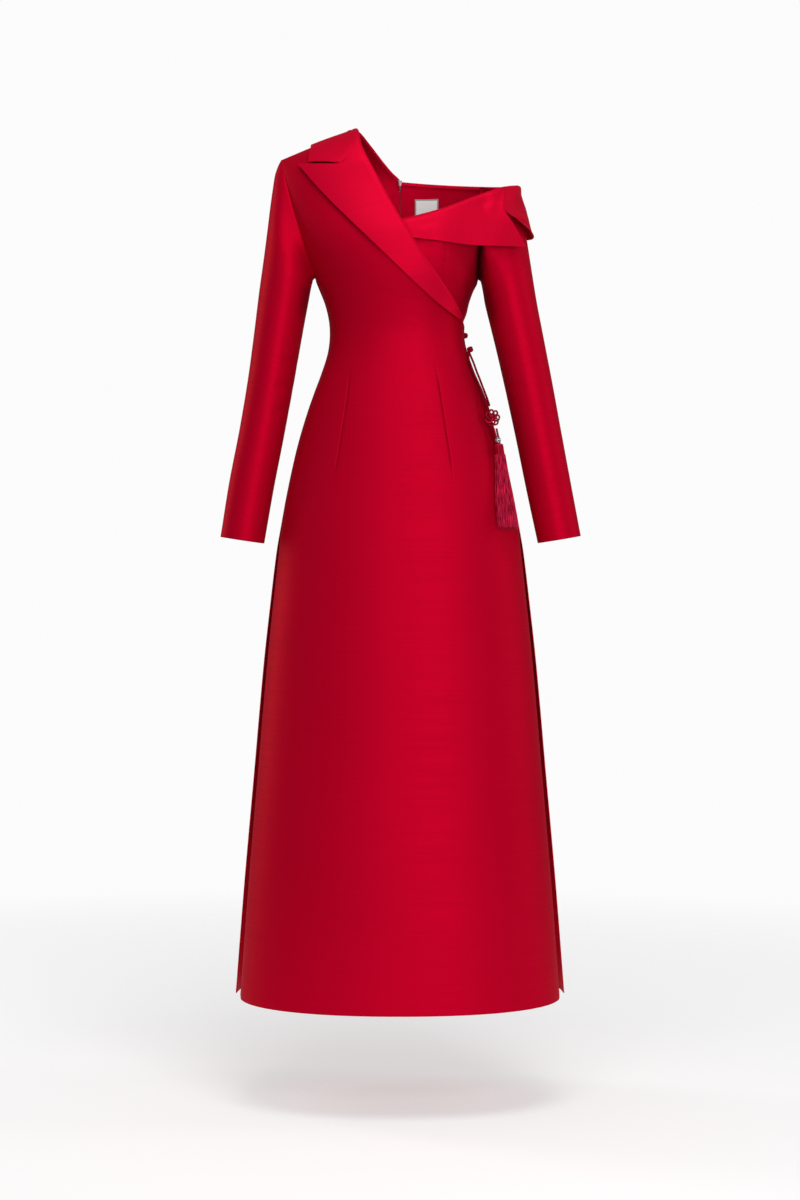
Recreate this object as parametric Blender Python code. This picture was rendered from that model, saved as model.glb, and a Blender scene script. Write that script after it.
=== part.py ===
"""Ao dai tunic with a crossing front, one peak lapel, one off-shoulder collar and a side tassel.

The cloth is built as it is cut: each panel, sleeve, lapel and collar is a thin wall of its own,
0.3 mm from its neighbour at a seam. Sizes are in metres. +X is the wearer's left, -Y is the
front and +Z is up. Heights in the tables are counted up from the hem, and each finished piece is
then moved so that the point where the right shoulder holds the tunic up is the origin.
"""

import math

import bmesh
import bpy
from mathutils import Vector

for old in list(bpy.data.objects):
    bpy.data.objects.remove(old, do_unlink=True)

# ---------------------------------------------------------------- driving sizes
CLOTH = 0.0015  # wall of the body panels and sleeves
COLLAR_CLOTH = 0.0020  # lapels and collars, two layers of cloth
SEAM = 0.0003  # clear space between two pieces at a seam
SQUARENESS = 2.2  # 2 is an ellipse, more is squarer

NECK_POINT = (0.069, 1.3795)  # half distance from the centre line and height
SHOULDER_POINT = (0.190, 1.3335)
SHOULDER_LINE_COLUMNS = ("from_centre", "height")
SHOULDER_LINE = ((0.069, 1.3795), (0.1244, 1.3602), (0.190, 1.3335), (0.240, 1.3132))
SHOULDER_ROUNDING = 0.070  # drop over which the shoulder turns from its top to the chest
SHOULDER_REACH = 0.118  # length of cloth over that turn
CENTRE_GAP = 0.0024  # between the back panels, where the zip shows
HELD_AT = (-0.1244, 0.0, 1.3585)  # inside of the right shoulder seam, where the wearer holds it up
FRONT, BACK = -1, 1
RIGHT, LEFT = -1, 1

# A row for each cross-section of the figure, from the hem up.
BODY_COLUMNS = ("height", "right_half", "left_half", "front_depth", "back_depth")
BODY = (
    (0.000, 0.2545, 0.2545, 0.200, 0.203),
    (0.165, 0.2425, 0.2425, 0.186, 0.190),
    (0.357, 0.2265, 0.2265, 0.169, 0.174),
    (0.550, 0.2100, 0.2100, 0.151, 0.159),
    (0.694, 0.1950, 0.1950, 0.136, 0.146),
    (0.758, 0.1880, 0.1880, 0.129, 0.139),
    (0.822, 0.1760, 0.1760, 0.121, 0.131),
    (0.886, 0.1610, 0.1560, 0.112, 0.119),
    (0.950, 0.1410, 0.1385, 0.102, 0.103),
    (0.998, 0.1235, 0.1180, 0.094, 0.091),
    (1.046, 0.1115, 0.1035, 0.090, 0.084),
    (1.094, 0.1170, 0.1075, 0.101, 0.086),
    (1.142, 0.1335, 0.1245, 0.117, 0.092),
    (1.178, 0.1500, 0.1400, 0.121, 0.096),
    (1.202, 0.1630, 0.1570, 0.117, 0.098),
    (1.243, 0.1780, 0.1760, 0.103, 0.098),
    (1.285, 0.1890, 0.1880, 0.088, 0.092),
    (1.332, 0.1980, 0.1960, 0.076, 0.084),
    (1.400, 0.2000, 0.2000, 0.070, 0.080),
)

# The right armhole runs in a flat plane from the underarm to the shoulder point, and the left one
# from the underarm to the neckline, which passes under that arm's shoulder.
UNDERARM_RIGHT = (-0.1350, 1.1465)
UNDERARM_LEFT = (0.1248, 1.1430)
ARMHOLE_BOW = 0.004
ARMHOLE_LEFT_LEAN = 0.050

# The crossing front's free edge, where its lapel turns back, from the left side to the neck.
ROLL_COLUMNS = ("height", "x")
ROLL = (
    (1.0640, 0.1060),
    (1.0717, 0.0996),
    (1.0904, 0.0896),
    (1.1251, 0.0638),
    (1.1655, 0.0340),
    (1.2241, -0.0016),
    (1.2924, -0.0375),
    (1.3511, -0.0639),
    (1.3795, -0.0690),
)

# The back neckline on the right, from the centre back to the neck point.
NECK_COLUMNS = ("from_centre", "height")
NECK = (
    (0.0000, 1.3152),
    (0.0131, 1.3258),
    (0.0294, 1.3431),
    (0.0487, 1.3642),
    (0.0628, 1.3766),
    (0.0690, 1.3795),
)

# The off-shoulder neckline, from under the crossing front, round the left arm, to the centre back.
LOW_NECK_COLUMNS = ("share", "x", "y", "height")
LOW_NECK = (
    (0.00, -0.0300, -0.1085, 1.2120),
    (0.10, -0.0019, -0.1106, 1.2184),
    (0.24, 0.0577, -0.1005, 1.2345),
    (0.40, 0.1197, -0.0757, 1.2607),
    (0.52, 0.1629, -0.0481, 1.2797),
    (0.60, 0.1885, 0.0000, 1.2905),
    (0.70, 0.1640, 0.0500, 1.2970),
    (0.78, 0.1190, 0.0714, 1.3017),
    (0.90, 0.0521, 0.0852, 1.3075),
    (1.00, 0.0000, 0.0869, 1.3120),
)

# A row for each ring of a sleeve, from the armhole to the cuff. "outer" is the point farthest
# from the body, "inner" the nearest, and "half_depth" reaches to the front and the back.
SLEEVE_COLUMNS = ("share", "outer_x", "outer_height", "inner_x", "inner_height", "half_depth")
SLEEVE_RIGHT = (
    (0.00, 0.1900, 1.3335, 0.1350, 1.1465, 0.060),
    (0.04, 0.1975, 1.3180, 0.1385, 1.1440, 0.060),
    (0.10, 0.2040, 1.2830, 0.1403, 1.1380, 0.060),
    (0.18, 0.2100, 1.2360, 0.1425, 1.1280, 0.059),
    (0.28, 0.2170, 1.1810, 0.1460, 1.1080, 0.056),
    (0.40, 0.2265, 1.1120, 0.1540, 1.0650, 0.052),
    (0.55, 0.2372, 1.0250, 0.1664, 0.9950, 0.047),
    (0.70, 0.2515, 0.9300, 0.1814, 0.9120, 0.043),
    (0.85, 0.2705, 0.8330, 0.1995, 0.8200, 0.039),
    (1.00, 0.2870, 0.7310, 0.2170, 0.7205, 0.036),
)
SLEEVE_LEFT = (
    (0.00, 0.1885, 1.2905, 0.1248, 1.1430, 0.066),
    (0.05, 0.1925, 1.2680, 0.1285, 1.1405, 0.066),
    (0.12, 0.1985, 1.2330, 0.1306, 1.1330, 0.063),
    (0.20, 0.2045, 1.1960, 0.1332, 1.1190, 0.060),
    (0.30, 0.2117, 1.1480, 0.1370, 1.0975, 0.056),
    (0.42, 0.2214, 1.0900, 0.1470, 1.0580, 0.051),
    (0.55, 0.2345, 1.0250, 0.1600, 1.0030, 0.047),
    (0.70, 0.2530, 0.9250, 0.1805, 0.9110, 0.043),
    (0.85, 0.2708, 0.8290, 0.1997, 0.8170, 0.039),
    (1.00, 0.2890, 0.7324, 0.2203, 0.7210, 0.036),
)

# The side slits: the front panel's edge draws forward and the back's goes back and out.
SLIT_COLUMNS = ("height", "edge_gap", "back_flare")
SLIT = (
    (0.000, 0.0120, 0.0085),
    (0.350, 0.0075, 0.0066),
    (0.640, 0.0030, 0.0045),
    (0.715, 0.0010, 0.0030),
    (0.745, 0.00015, 0.0008),
    (0.770, 0.00015, 0.0000),
    (1.500, 0.00015, 0.0000),
)


# ---------------------------------------------------------------- curves and tables
def clamp(value, low=0.0, high=1.0):
    return max(low, min(high, value))


def ease(value):
    """0 to 1 with a level start and end."""
    share = clamp(value)
    return share * share * (3 - 2 * share)


def mix(a, b, share):
    return a + (b - a) * share


def read(table, at):
    """The other columns of a table where its first column is `at`, on a smooth curve."""
    rows = table if table[0][0] < table[-1][0] else table[::-1]
    at = clamp(at, rows[0][0], rows[-1][0])
    k = next(i for i in range(1, len(rows)) if at <= rows[i][0])
    span = rows[k][0] - rows[k - 1][0]
    share = (at - rows[k - 1][0]) / span

    def slope(i, column):
        if i == 0 or i == len(rows) - 1:
            near = (i, i + 1) if i == 0 else (i - 1, i)
            return (rows[near[1]][column] - rows[near[0]][column]) / (
                rows[near[1]][0] - rows[near[0]][0]
            )
        before, after = rows[i][0] - rows[i - 1][0], rows[i + 1][0] - rows[i][0]
        down = (rows[i][column] - rows[i - 1][column]) / before
        up = (rows[i + 1][column] - rows[i][column]) / after
        return (down * after + up * before) / (before + after)

    s2, s3 = share * share, share**3
    return [
        (2 * s3 - 3 * s2 + 1) * rows[k - 1][c]
        + (s3 - 2 * s2 + share) * span * slope(k - 1, c)
        + (3 * s2 - 2 * s3) * rows[k][c]
        + (s3 - s2) * span * slope(k, c)
        for c in range(1, len(rows[0]))
    ]


# ---------------------------------------------------------------- the figure's surface
def shoulder_height(x):
    return read(SHOULDER_LINE, abs(x))[0]


def over_shoulder(x, height):
    """1 on the chest and back, falling to 0 at the top of the shoulder."""
    drop = clamp((shoulder_height(x) - height) / SHOULDER_ROUNDING)
    return math.sqrt(1 - (1 - drop) ** 2)


def turn_at(x, height):
    """Where x lies round the body: -90 at the right side, 0 at the centre, 90 at the left."""
    right, left, _, _ = read(BODY, height)
    share = clamp(abs(x) / (right if x < 0 else left))
    return math.copysign(math.degrees(math.asin(share ** (SQUARENESS / 2))), x)


def on_body(facing, turn, height):
    right, left, front, back = read(BODY, height)
    sine, cosine = math.sin(math.radians(turn)), math.cos(math.radians(turn))
    x = math.copysign(abs(sine) ** (2 / SQUARENESS), sine) * (right if turn < 0 else left)
    depth = front if facing == FRONT else back
    y = facing * depth * max(0.0, cosine) ** (2 / SQUARENESS) * over_shoulder(x, height)
    return Vector((x, y, height))


def drop_at(reach):
    """Height below the shoulder line at a length of cloth over it."""
    length = abs(reach)
    if length < SHOULDER_REACH:
        return SHOULDER_ROUNDING * (1 - math.cos(length / SHOULDER_REACH * math.pi / 2))
    return SHOULDER_ROUNDING + length - SHOULDER_REACH


def over_body(x, reach):
    """The point at x, a length in front of the shoulder line (below 0) or behind it (above 0)."""
    facing = FRONT if reach < 0 else BACK
    height = shoulder_height(x) - drop_at(reach)
    return on_body(facing, turn_at(x, height), height)


def out_over_body(x, reach):
    step = 0.002
    along = over_body(x + step, reach) - over_body(x - step, reach)
    down = over_body(x, reach + step) - over_body(x, reach - step)
    return along.cross(down).normalized()


def out_of_body(facing, turn, height):
    """The outward direction of the surface."""
    x = on_body(facing, turn, height).x
    drop = shoulder_height(x) - height
    if drop < 0.5 * SHOULDER_ROUNDING:
        rounding = math.acos(clamp(1 - drop / SHOULDER_ROUNDING, -1, 1)) * 2 / math.pi
        return out_over_body(x, facing * rounding * SHOULDER_REACH)
    turn = clamp(turn, -88.5, 88.5)
    across = on_body(facing, turn + 1, height) - on_body(facing, turn - 1, height)
    up = on_body(facing, turn, height + 0.002) - on_body(facing, turn, height - 0.002)
    return (across.cross(up) * -facing).normalized()


# ---------------------------------------------------------------- meshes
def add_solid(name, points, faces, material, at=HELD_AT):
    """A named closed mesh, facing outwards, with `at` moved to the object's origin."""
    at = Vector(at)
    mesh = bpy.data.meshes.new(name)
    mesh.from_pydata([Vector(p) - at for p in points], [], faces)
    made = bmesh.new()
    made.from_mesh(mesh)
    if made.calc_volume(signed=True) < 0:
        bmesh.ops.reverse_faces(made, faces=made.faces)
    made.to_mesh(mesh)
    made.free()
    mesh.materials.append(material)
    thing = bpy.data.objects.new(name, mesh)
    thing.location = at - Vector(HELD_AT)
    bpy.context.collection.objects.link(thing)
    return thing


def add_wall(name, outer, inner, material, ring=False):
    """A closed wall between two grids of points. A ring's rows each close on themselves."""
    rows, columns = len(outer), len(outer[0])
    points = [p for row in outer for p in row] + [p for row in inner for p in row]
    far = rows * columns
    faces = []
    for i in range(rows - 1):
        for j in range(columns if ring else columns - 1):
            a, b = i * columns + j, i * columns + (j + 1) % columns
            c, d = b + columns, a + columns
            faces += [(a, b, c, d), (far + d, far + c, far + b, far + a)]
    for i in range(rows - 1):
        if not ring:
            a, b = i * columns, (i + 1) * columns
            faces.append((a, b, far + b, far + a))
            a, b = a + columns - 1, b + columns - 1
            faces.append((b, a, far + a, far + b))
    for j in range(columns if ring else columns - 1):
        a, b = j, (j + 1) % columns
        faces.append((b, a, far + a, far + b))
        a, b = a + (rows - 1) * columns, b + (rows - 1) * columns
        faces.append((a, b, far + b, far + a))
    return add_solid(name, points, faces, material)


def even(count, low=0.0, high=1.0):
    return [mix(low, high, i / count) for i in range(count + 1)]


def paint(name, colour, roughness, metallic=0.0):
    material = bpy.data.materials.new(name)
    material.use_nodes = True
    shader = material.node_tree.nodes["Principled BSDF"]
    shader.inputs["Base Color"].default_value = (*colour, 1.0)
    shader.inputs["Roughness"].default_value = roughness
    shader.inputs["Metallic"].default_value = metallic
    return material


# ---------------------------------------------------------------- body panels
def armhole_right(share):
    """(x, height) up the right armhole, 0 at the underarm and 1 at the shoulder point."""
    x = mix(UNDERARM_RIGHT[0], -SHOULDER_POINT[0], share) - ARMHOLE_BOW * math.sin(math.pi * share)
    return x, mix(UNDERARM_RIGHT[1], SHOULDER_POINT[1], share)


def armhole_left_x(height):
    return UNDERARM_LEFT[0] + ARMHOLE_LEFT_LEAN * (height - UNDERARM_LEFT[1])


def panel_row(facing, first, last, shares, level=None, sink=None, at_seam=False):
    """(outer, inner) points of a panel from one (x, height) to another.

    `level` bends the heights between them, and `sink` sets the cloth further in."""
    turns = [turn_at(*first), turn_at(*last)]
    outer, inner = [], []
    for share in shares:
        turn = mix(turns[0], turns[1], share)
        height = mix(first[1], last[1], share)
        for _ in range(3):
            x = on_body(facing, turn, height).x
            along = (x - first[0]) / (last[0] - first[0])
            height = level(along, x) if level else mix(first[1], last[1], along)
        point = on_body(facing, turn, height)
        out = out_of_body(facing, turn, height)
        if at_seam and shoulder_height(x) - height < 0.001:
            point.y = 0.0
        gap, flare = read(SLIT, height)
        depth = read(BODY, height)[2 if facing == FRONT else 3]
        point.y = facing * (gap + (1 - gap / depth) * abs(point.y))
        if facing == BACK:
            point.x *= 1 + flare / read(BODY, height)[0]
        if sink:
            point -= out * sink(turn, height)
        outer.append(point)
        inner.append(point - out * CLOTH)
    return outer, inner


def add_panel(name, rows, material):
    return add_wall(name, [row[0] for row in rows], [row[1] for row in rows], material)


def side_x(side, height):
    return side * read(BODY, height)[0 if side == RIGHT else 1]


LOW_ROWS = (0.0, 0.09, 0.18, 0.27, 0.36, 0.45, 0.54, 0.63, 0.68, 0.715, 0.745, 0.770, 0.805, 0.84)
LOW_ROWS += (0.875, 0.91, 0.94, 0.965, 0.99)
CROSSING_ROWS = (0.007, 0.018, 0.035, 0.06, 0.10, 0.15, 0.21, 0.28, 0.36, 0.45, 0.54, 0.63, 0.72)
CROSSING_ROWS += (0.80, 0.86, 0.91, 0.948, 0.973, 0.989, 0.9972, 1.0)


def add_front(material):
    shares = even(16)
    rows = []
    for height in LOW_ROWS:
        ends = (side_x(RIGHT, height), height), (side_x(LEFT, height), height)
        rows.append(panel_row(FRONT, *ends, shares))
    for k in range(1, 5):  # tilting up to the row from the underarm to the end of the crossing
        right, left = mix(0.99, UNDERARM_RIGHT[1], k / 4), mix(0.99, ROLL[0][0], k / 4)
        rows.append(panel_row(FRONT, (side_x(RIGHT, right), right), (side_x(LEFT, left), left), shares))
    for up in CROSSING_ROWS:
        height = mix(ROLL[0][0], ROLL[-1][0], up)
        ends = armhole_right(up), (read(ROLL, height)[0], height)
        rows.append(panel_row(FRONT, *ends, shares, at_seam=up == 1.0))
    return add_panel("front", rows, material)


def low_neck(share):
    x, y, height = read(LOW_NECK, share)
    return Vector((x, y, height))


def low_neck_height(facing, x):
    """Height of the off-shoulder neckline over x, on the front or the back."""
    low, high = (0.0, 0.60) if facing == FRONT else (0.60, 1.0)
    for _ in range(30):
        middle = (low + high) / 2
        ahead = low_neck(middle).x < x
        if ahead == (facing == FRONT):
            low = middle
        else:
            high = middle
    return low_neck((low + high) / 2).z


def left_corner(facing):
    """Where the left armhole meets the neckline."""
    height = 1.27
    for _ in range(6):
        height = low_neck_height(facing, armhole_left_x(height))
    return armhole_left_x(height), height


UNDER_DEPTH = 0.0046  # how far the under front lies inside the front
HIDDEN_EDGE = 0.045  # how far it runs on beneath the crossing edge


def add_under_front(material):
    """The left bodice. Its far edge runs inside the front, level with the crossing edge."""
    corner = left_corner(FRONT)

    def hidden_x(height):
        return read(ROLL, max(height, 1.075))[0] - HIDDEN_EDGE

    def sink(turn, height):
        crossing = 90.0
        if height > ROLL[0][0]:
            crossing = turn_at(read(ROLL, height)[0], height)
        return mix(UNDER_DEPTH, 0.0003, ease((turn - crossing - 6) / 16))

    shares = even(14)
    rows = []
    for k in range(0, 7):
        height = mix(1.030, UNDERARM_LEFT[1], k / 6)
        first = (hidden_x(height), height)
        rows.append(panel_row(FRONT, first, (side_x(LEFT, height), height), shares, sink=sink))
    start = UNDERARM_LEFT[1]
    end_height = low_neck(0.0).z
    for k in range(1, 9):
        height = mix(start, corner[1], k / 8)
        first_height = mix(start, end_height, k / 8)
        first = (hidden_x(first_height), first_height)

        def level(along, x, up=k / 8):
            top = low_neck_height(FRONT, clamp(x, -0.029, 0.19))
            return mix(start, top, up)

        last = (armhole_left_x(height), height)
        rows.append(panel_row(FRONT, first, last, shares, level=level, sink=sink))
    return add_panel("under_front", rows, material)


def add_back(side, material):
    name = "back_right" if side == RIGHT else "back_left"
    centre = side * CENTRE_GAP / 2
    shares = even(11)
    if side == RIGHT:  # one column ends at the neck point
        ends = turn_at(-SHOULDER_POINT[0], SHOULDER_POINT[1]), turn_at(centre, NECK[0][1])
        neck = (turn_at(-NECK_POINT[0], NECK_POINT[1]) - ends[0]) / (ends[1] - ends[0])
        shares = even(5, 0.0, neck)[:-1]
        shares += [mix(neck, 1.0, share) for share in (0, 0.05, 0.14, 0.27, 0.42, 0.60, 0.80, 1)]
    rows = []
    under = UNDERARM_RIGHT[1] if side == RIGHT else UNDERARM_LEFT[1]
    for height in LOW_ROWS + (1.03, 1.07, 1.11, under):
        rows.append(panel_row(BACK, (side_x(side, height), height), (centre, height), shares))
    for k in range(1, 13):
        up = 1 - (1 - k / 12) ** 1.8

        def level(along, x, up=up):
            if side == LEFT:
                return mix(under, low_neck_height(BACK, max(x, 0.0005)), up)
            first_x = armhole_right(up)[0]
            top_x = mix(-SHOULDER_POINT[0], centre, (x - first_x) / (centre - first_x))
            on_neck = abs(top_x) < NECK_POINT[0]
            top = read(NECK, abs(top_x))[0] if on_neck else shoulder_height(top_x)
            return mix(under, top, up)

        if side == RIGHT:
            first = armhole_right(up)
        else:
            height = mix(under, left_corner(BACK)[1], up)
            first = (armhole_left_x(height), height)
        last = (centre, level(1.0, centre))
        rows.append(panel_row(BACK, first, last, shares, level=level, at_seam=k == 12))
    return add_panel(name, rows, material)


# ---------------------------------------------------------------- sleeves
AROUND = 24  # points round a sleeve
ARMHOLE_FADE = 0.30  # share of the sleeve over which the armhole's shape becomes an oval


def surface_y(facing, x, height):
    return on_body(facing, turn_at(x, height), height).y


def first_ring_right(angle):
    """A point of the right armhole, from the shoulder point (0) round the front to the underarm."""
    x, height = armhole_right((1 + math.cos(angle)) / 2)
    return Vector((x, surface_y(FRONT if math.sin(angle) > 0 else BACK, x, height), height))


def first_ring_left(angle):
    """A point of the left sleeve's top: half of it on the neckline and half on the armhole."""
    facing = FRONT if math.sin(angle) > 0 else BACK
    turned = abs((angle + math.pi) % (2 * math.pi) - math.pi)
    corner_x, corner_height = left_corner(facing)
    if turned < math.pi / 2:
        low, high = 0.60, (0.40 if facing == FRONT else 0.78)
        for share in even(40, low, high):
            if low_neck(share).x <= corner_x + 0.0002:
                high = share
                break
        at = low_neck(mix(low, high, turned / (math.pi / 2)))
        return at
    down = (turned - math.pi / 2) / (math.pi / 2)
    height = mix(corner_height, UNDERARM_LEFT[1], down**0.8)
    x = armhole_left_x(height)
    return Vector((x, surface_y(facing, x, height), height))


def sleeve_row(side, table, first_ring, share):
    """A ring of points round a sleeve, with the centre of the ring."""
    out_x, out_z, in_x, in_z, depth = read(table, share)
    start_out_x, start_out_z, start_in_x, start_in_z, _ = table[0][1:]
    outer, inner = Vector((side * out_x, 0, out_z)), Vector((side * in_x, 0, in_z))
    first_out = Vector((side * start_out_x, 0, start_out_z))
    first_in = Vector((side * start_in_x, 0, start_in_z))
    oval = ease(share / ARMHOLE_FADE)
    ring = []
    for i in range(AROUND):
        angle = 2 * math.pi * i / AROUND
        along = (1 - math.cos(angle)) / 2
        point = outer.lerp(inner, along) + Vector((0, -depth * math.sin(angle), 0))
        at_armhole = first_ring(angle + 1e-6) - first_out.lerp(first_in, along) + outer.lerp(inner, along)
        ring.append(at_armhole.lerp(point, oval))
    return ring, outer.lerp(inner, 0.5)


def add_sleeve(name, side, table, first_ring, away, material):
    shares = (0.0, 0.02, 0.05, 0.09, 0.14, 0.20, 0.28, 0.38, 0.49, 0.61, 0.74, 0.87, 1.0)
    rows = [sleeve_row(side, table, first_ring, share) for share in shares]
    outer, inner = [], []
    for row, (ring, centre) in enumerate(rows):
        inside = []
        for i, point in enumerate(ring):
            tangent = ring[(i + 1) % AROUND] - ring[i - 1]
            ahead = rows[min(row + 1, len(rows) - 1)][0][i] - rows[max(row - 1, 0)][0][i]
            out = tangent.cross(ahead).normalized()
            if out.dot(point - centre) < 0:
                out.negate()
            if row == 0:  # keep the seam's rim in the armhole's own plane
                out = (out - out.dot(away) * away).normalized()
            inside.append(point - out * CLOTH)
        shift = away * 1.6 * SEAM
        outer.append([p + shift for p in ring])
        inner.append([p + shift for p in inside])
    return add_wall(name, outer, inner, material, ring=True)


# ---------------------------------------------------------------- lapels and collars
# Where a fold runs over a panel's edge, in millimetres out of the cloth and up past its edge.
# "near" is the side that faces the panel. A wrapped fold goes down inside the neckline too.
FOLD_COLUMNS = ("near_out", "near_up", "far_out", "far_up")
WRAPPED = ((-3.9, -6.0, -5.9, -6.0), (-2.6, 0.6, -4.6, 1.6), (-0.75, 1.6, -0.75, 3.6), (1.6, 0.6, 3.6, 1.7))
EDGED = ((-1.4, 0.6, -1.4, 2.0), (-0.5, 0.7, -0.3, 2.6), (0.5, 0.6, 1.6, 2.4), (1.0, 0.1, 3.0, 0.8))
STATIONS = 18  # sections along a lapel or collar
FALL = (0.16, 0.28, 0.40, 0.52, 0.64, 0.76, 0.88, 1.0)  # shares from the fold to the free edge
LIFT = 0.0019  # a lapel's height over its panel near the fold
EDGE_LIFT = 0.0030  # and how much more at its free edge
SHOULDER_EDGE_LIFT = 0.0003  # the same where a collar lies close over the shoulder

# The right lapel: its free edge beside each height of the fold. The last row ends at the peak.
LAPEL_COLUMNS = ("fold_height", "edge_x", "edge_height")
LAPEL_RIGHT = (
    (1.0770, 0.0895, 1.0730),
    (1.0904, 0.0700, 1.0850),
    (1.1251, 0.0261, 1.1214),
    (1.1655, -0.0150, 1.1590),
    (1.2241, -0.0650, 1.2075),
    (1.2924, -0.1190, 1.2665),
    (1.3440, -0.1590, 1.3166),
)
NOTCH_RIGHT = (-0.0931, 1.3120)

# The right collar, from the lapel over the shoulder to the centre back. A reach is a length of
# cloth in front of the shoulder line (below 0) or behind it (above 0).
COLLAR_COLUMNS = ("share", "fold_x", "fold_reach", "edge_x", "edge_reach")
COLLAR_RIGHT = (
    (0.00, -0.0630, -0.0770, -0.1422, -0.0805),
    (0.15, -0.0670, -0.0450, -0.1405, -0.0390),
    (0.30, -0.0690, 0.0000, -0.1400, 0.0000),
    (0.45, -0.0605, 0.0280, -0.1340, 0.0350),
    (0.60, -0.0487, 0.0536, -0.1170, 0.0700),
    (0.75, -0.0294, 0.0834, -0.0860, 0.1050),
    (0.88, -0.0131, 0.1038, -0.0450, 0.1380),
    (1.00, -0.0012, 0.1150, -0.0012, 0.1640),
)

# Free edges of the left lapel and collar, which leave the chest and go round the arm.
FREE_EDGE_COLUMNS = ("share", "x", "y", "height")
LAPEL_LEFT = (
    (0.00, 0.0225, -0.1150, 1.1905),
    (0.22, 0.0549, -0.1165, 1.1872),
    (0.54, 0.1083, -0.0965, 1.1831),
    (0.78, 0.1560, -0.0790, 1.1840),
    (1.00, 0.1980, -0.0500, 1.1875),
)
LAPEL_LEFT_FOLD = (0.128, 0.52)  # its shares of the low neckline
LEFT_BULGE = 0.0040  # how far the falls round out between the fold and the free edge
NOTCH_LEFT = (0.1585, -0.0740, 1.2428)
COLLAR_LEFT = (
    (0.00, 0.2065, -0.0345, 1.2145),
    (0.12, 0.2130, 0.0000, 1.2105),
    (0.30, 0.2005, 0.0490, 1.2130),
    (0.48, 0.1560, 0.0830, 1.2250),
    (0.66, 0.1030, 0.0960, 1.2440),
    (0.84, 0.0500, 0.1010, 1.2560),
    (1.00, 0.0012, 0.1020, 1.2630),
)


def fold_points(edge, out, up, section):
    near, far = [], []
    for near_out, near_up, far_out, far_up in section:
        near.append(edge + out * (near_out / 1000) + up * (near_up / 1000))
        far.append(edge + out * (far_out / 1000) + up * (far_up / 1000))
    return near, far


def bent(start, corner, end, share, bend):
    """From start to end, drawn towards a path through the corner by `bend`."""
    straight = start.lerp(end, share)
    first, second = (corner - start).length, (end - corner).length
    at = share * (first + second)
    path = start.lerp(corner, at / first) if at < first else corner.lerp(end, (at - first) / second)
    return straight.lerp(path, bend)


def add_lapel_right(material):
    near_rows, far_rows = [], []
    heights = [row[0] for row in LAPEL_RIGHT]
    for k in range(STATIONS + 1):
        height = mix(heights[0], heights[-1], k / STATIONS)
        x = read(ROLL, height)[0]
        facing_out = out_of_body(FRONT, turn_at(x, height), height)
        edge = on_body(FRONT, turn_at(x, height), height)
        x_up, x_down = read(ROLL, height + 0.002)[0], read(ROLL, height - 0.002)[0]
        above = on_body(FRONT, turn_at(x_up, height + 0.002), height + 0.002)
        below = on_body(FRONT, turn_at(x_down, height - 0.002), height - 0.002)
        up = (above - below).cross(facing_out).normalized()
        up = up if up.x > 0 else -up
        near, far = fold_points(edge, facing_out, up, EDGED)
        free = Vector((*read(LAPEL_RIGHT, height), 0))
        start, notch = Vector((x, height, 0)), Vector((*NOTCH_RIGHT, 0))
        bend = ease((k / STATIONS - 0.78) / 0.22)
        for share in FALL:
            x_at, height_at, _ = bent(start, notch, free, share, bend)
            turn = turn_at(x_at, height_at)
            point, out = on_body(FRONT, turn, height_at), out_of_body(FRONT, turn, height_at)
            lift = LIFT + EDGE_LIFT * share
            near.append(point + out * lift)
            far.append(point + out * (lift + COLLAR_CLOTH))
        near_rows.append(near)
        far_rows.append(far)
    return add_wall("lapel_right", far_rows, near_rows, material)


def collar_fold(share):
    """(x, reach) on the right collar's fold, which is the edge of the front and then the back."""
    x, reach = read(COLLAR_RIGHT, clamp(share))[:2]
    if reach < 0:
        return read(ROLL, shoulder_height(x) - drop_at(reach))[0], reach
    drop = NECK_POINT[1] - read(NECK, min(abs(x), NECK_POINT[0]))[0]
    return x, SHOULDER_REACH * math.acos(clamp(1 - drop / SHOULDER_ROUNDING)) * 2 / math.pi


def add_collar_right(material):
    near_rows, far_rows = [], []
    notch_reach = -0.1058
    notch = Vector((NOTCH_RIGHT[0], notch_reach, 0))
    for k in range(STATIONS + 1):
        share_round = k / STATIONS
        x, reach = collar_fold(share_round)
        edge_x, edge_reach = read(COLLAR_RIGHT, share_round)[2:]
        edge, out = over_body(x, reach), out_over_body(x, reach)
        tangent = over_body(*collar_fold(share_round + 0.02)) - over_body(*collar_fold(share_round - 0.02))
        up = tangent.cross(out).normalized()
        up = up if up.x + up.z > 0 else -up
        if k == STATIONS:
            up.x = 0.0
        near, far = fold_points(edge, out, up, WRAPPED)
        bend = 1 - ease(share_round / 0.16)
        start, free = Vector((x, reach, 0)), Vector((edge_x, edge_reach, 0))
        for share in FALL:
            x_at, reach_at, _ = bent(start, notch, free, share, bend)
            point, out_at = over_body(x_at, reach_at), out_over_body(x_at, reach_at)
            lift = LIFT + mix(EDGE_LIFT, SHOULDER_EDGE_LIFT, ease(share_round / 0.2)) * share
            near.append(point + out_at * lift)
            far.append(point + out_at * (lift + COLLAR_CLOTH))
        if k == 0:  # clear of the lapel along their seam
            away = (over_body(*collar_fold(0.03)) - edge).normalized() * 4 * SEAM
            near, far = [p + away for p in near], [p + away for p in far]
        if k == STATIONS:
            for point in near + far:
                point.x = -CENTRE_GAP / 2
        near_rows.append(near)
        far_rows.append(far)
    return add_wall("collar_right", far_rows, near_rows, material)


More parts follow.
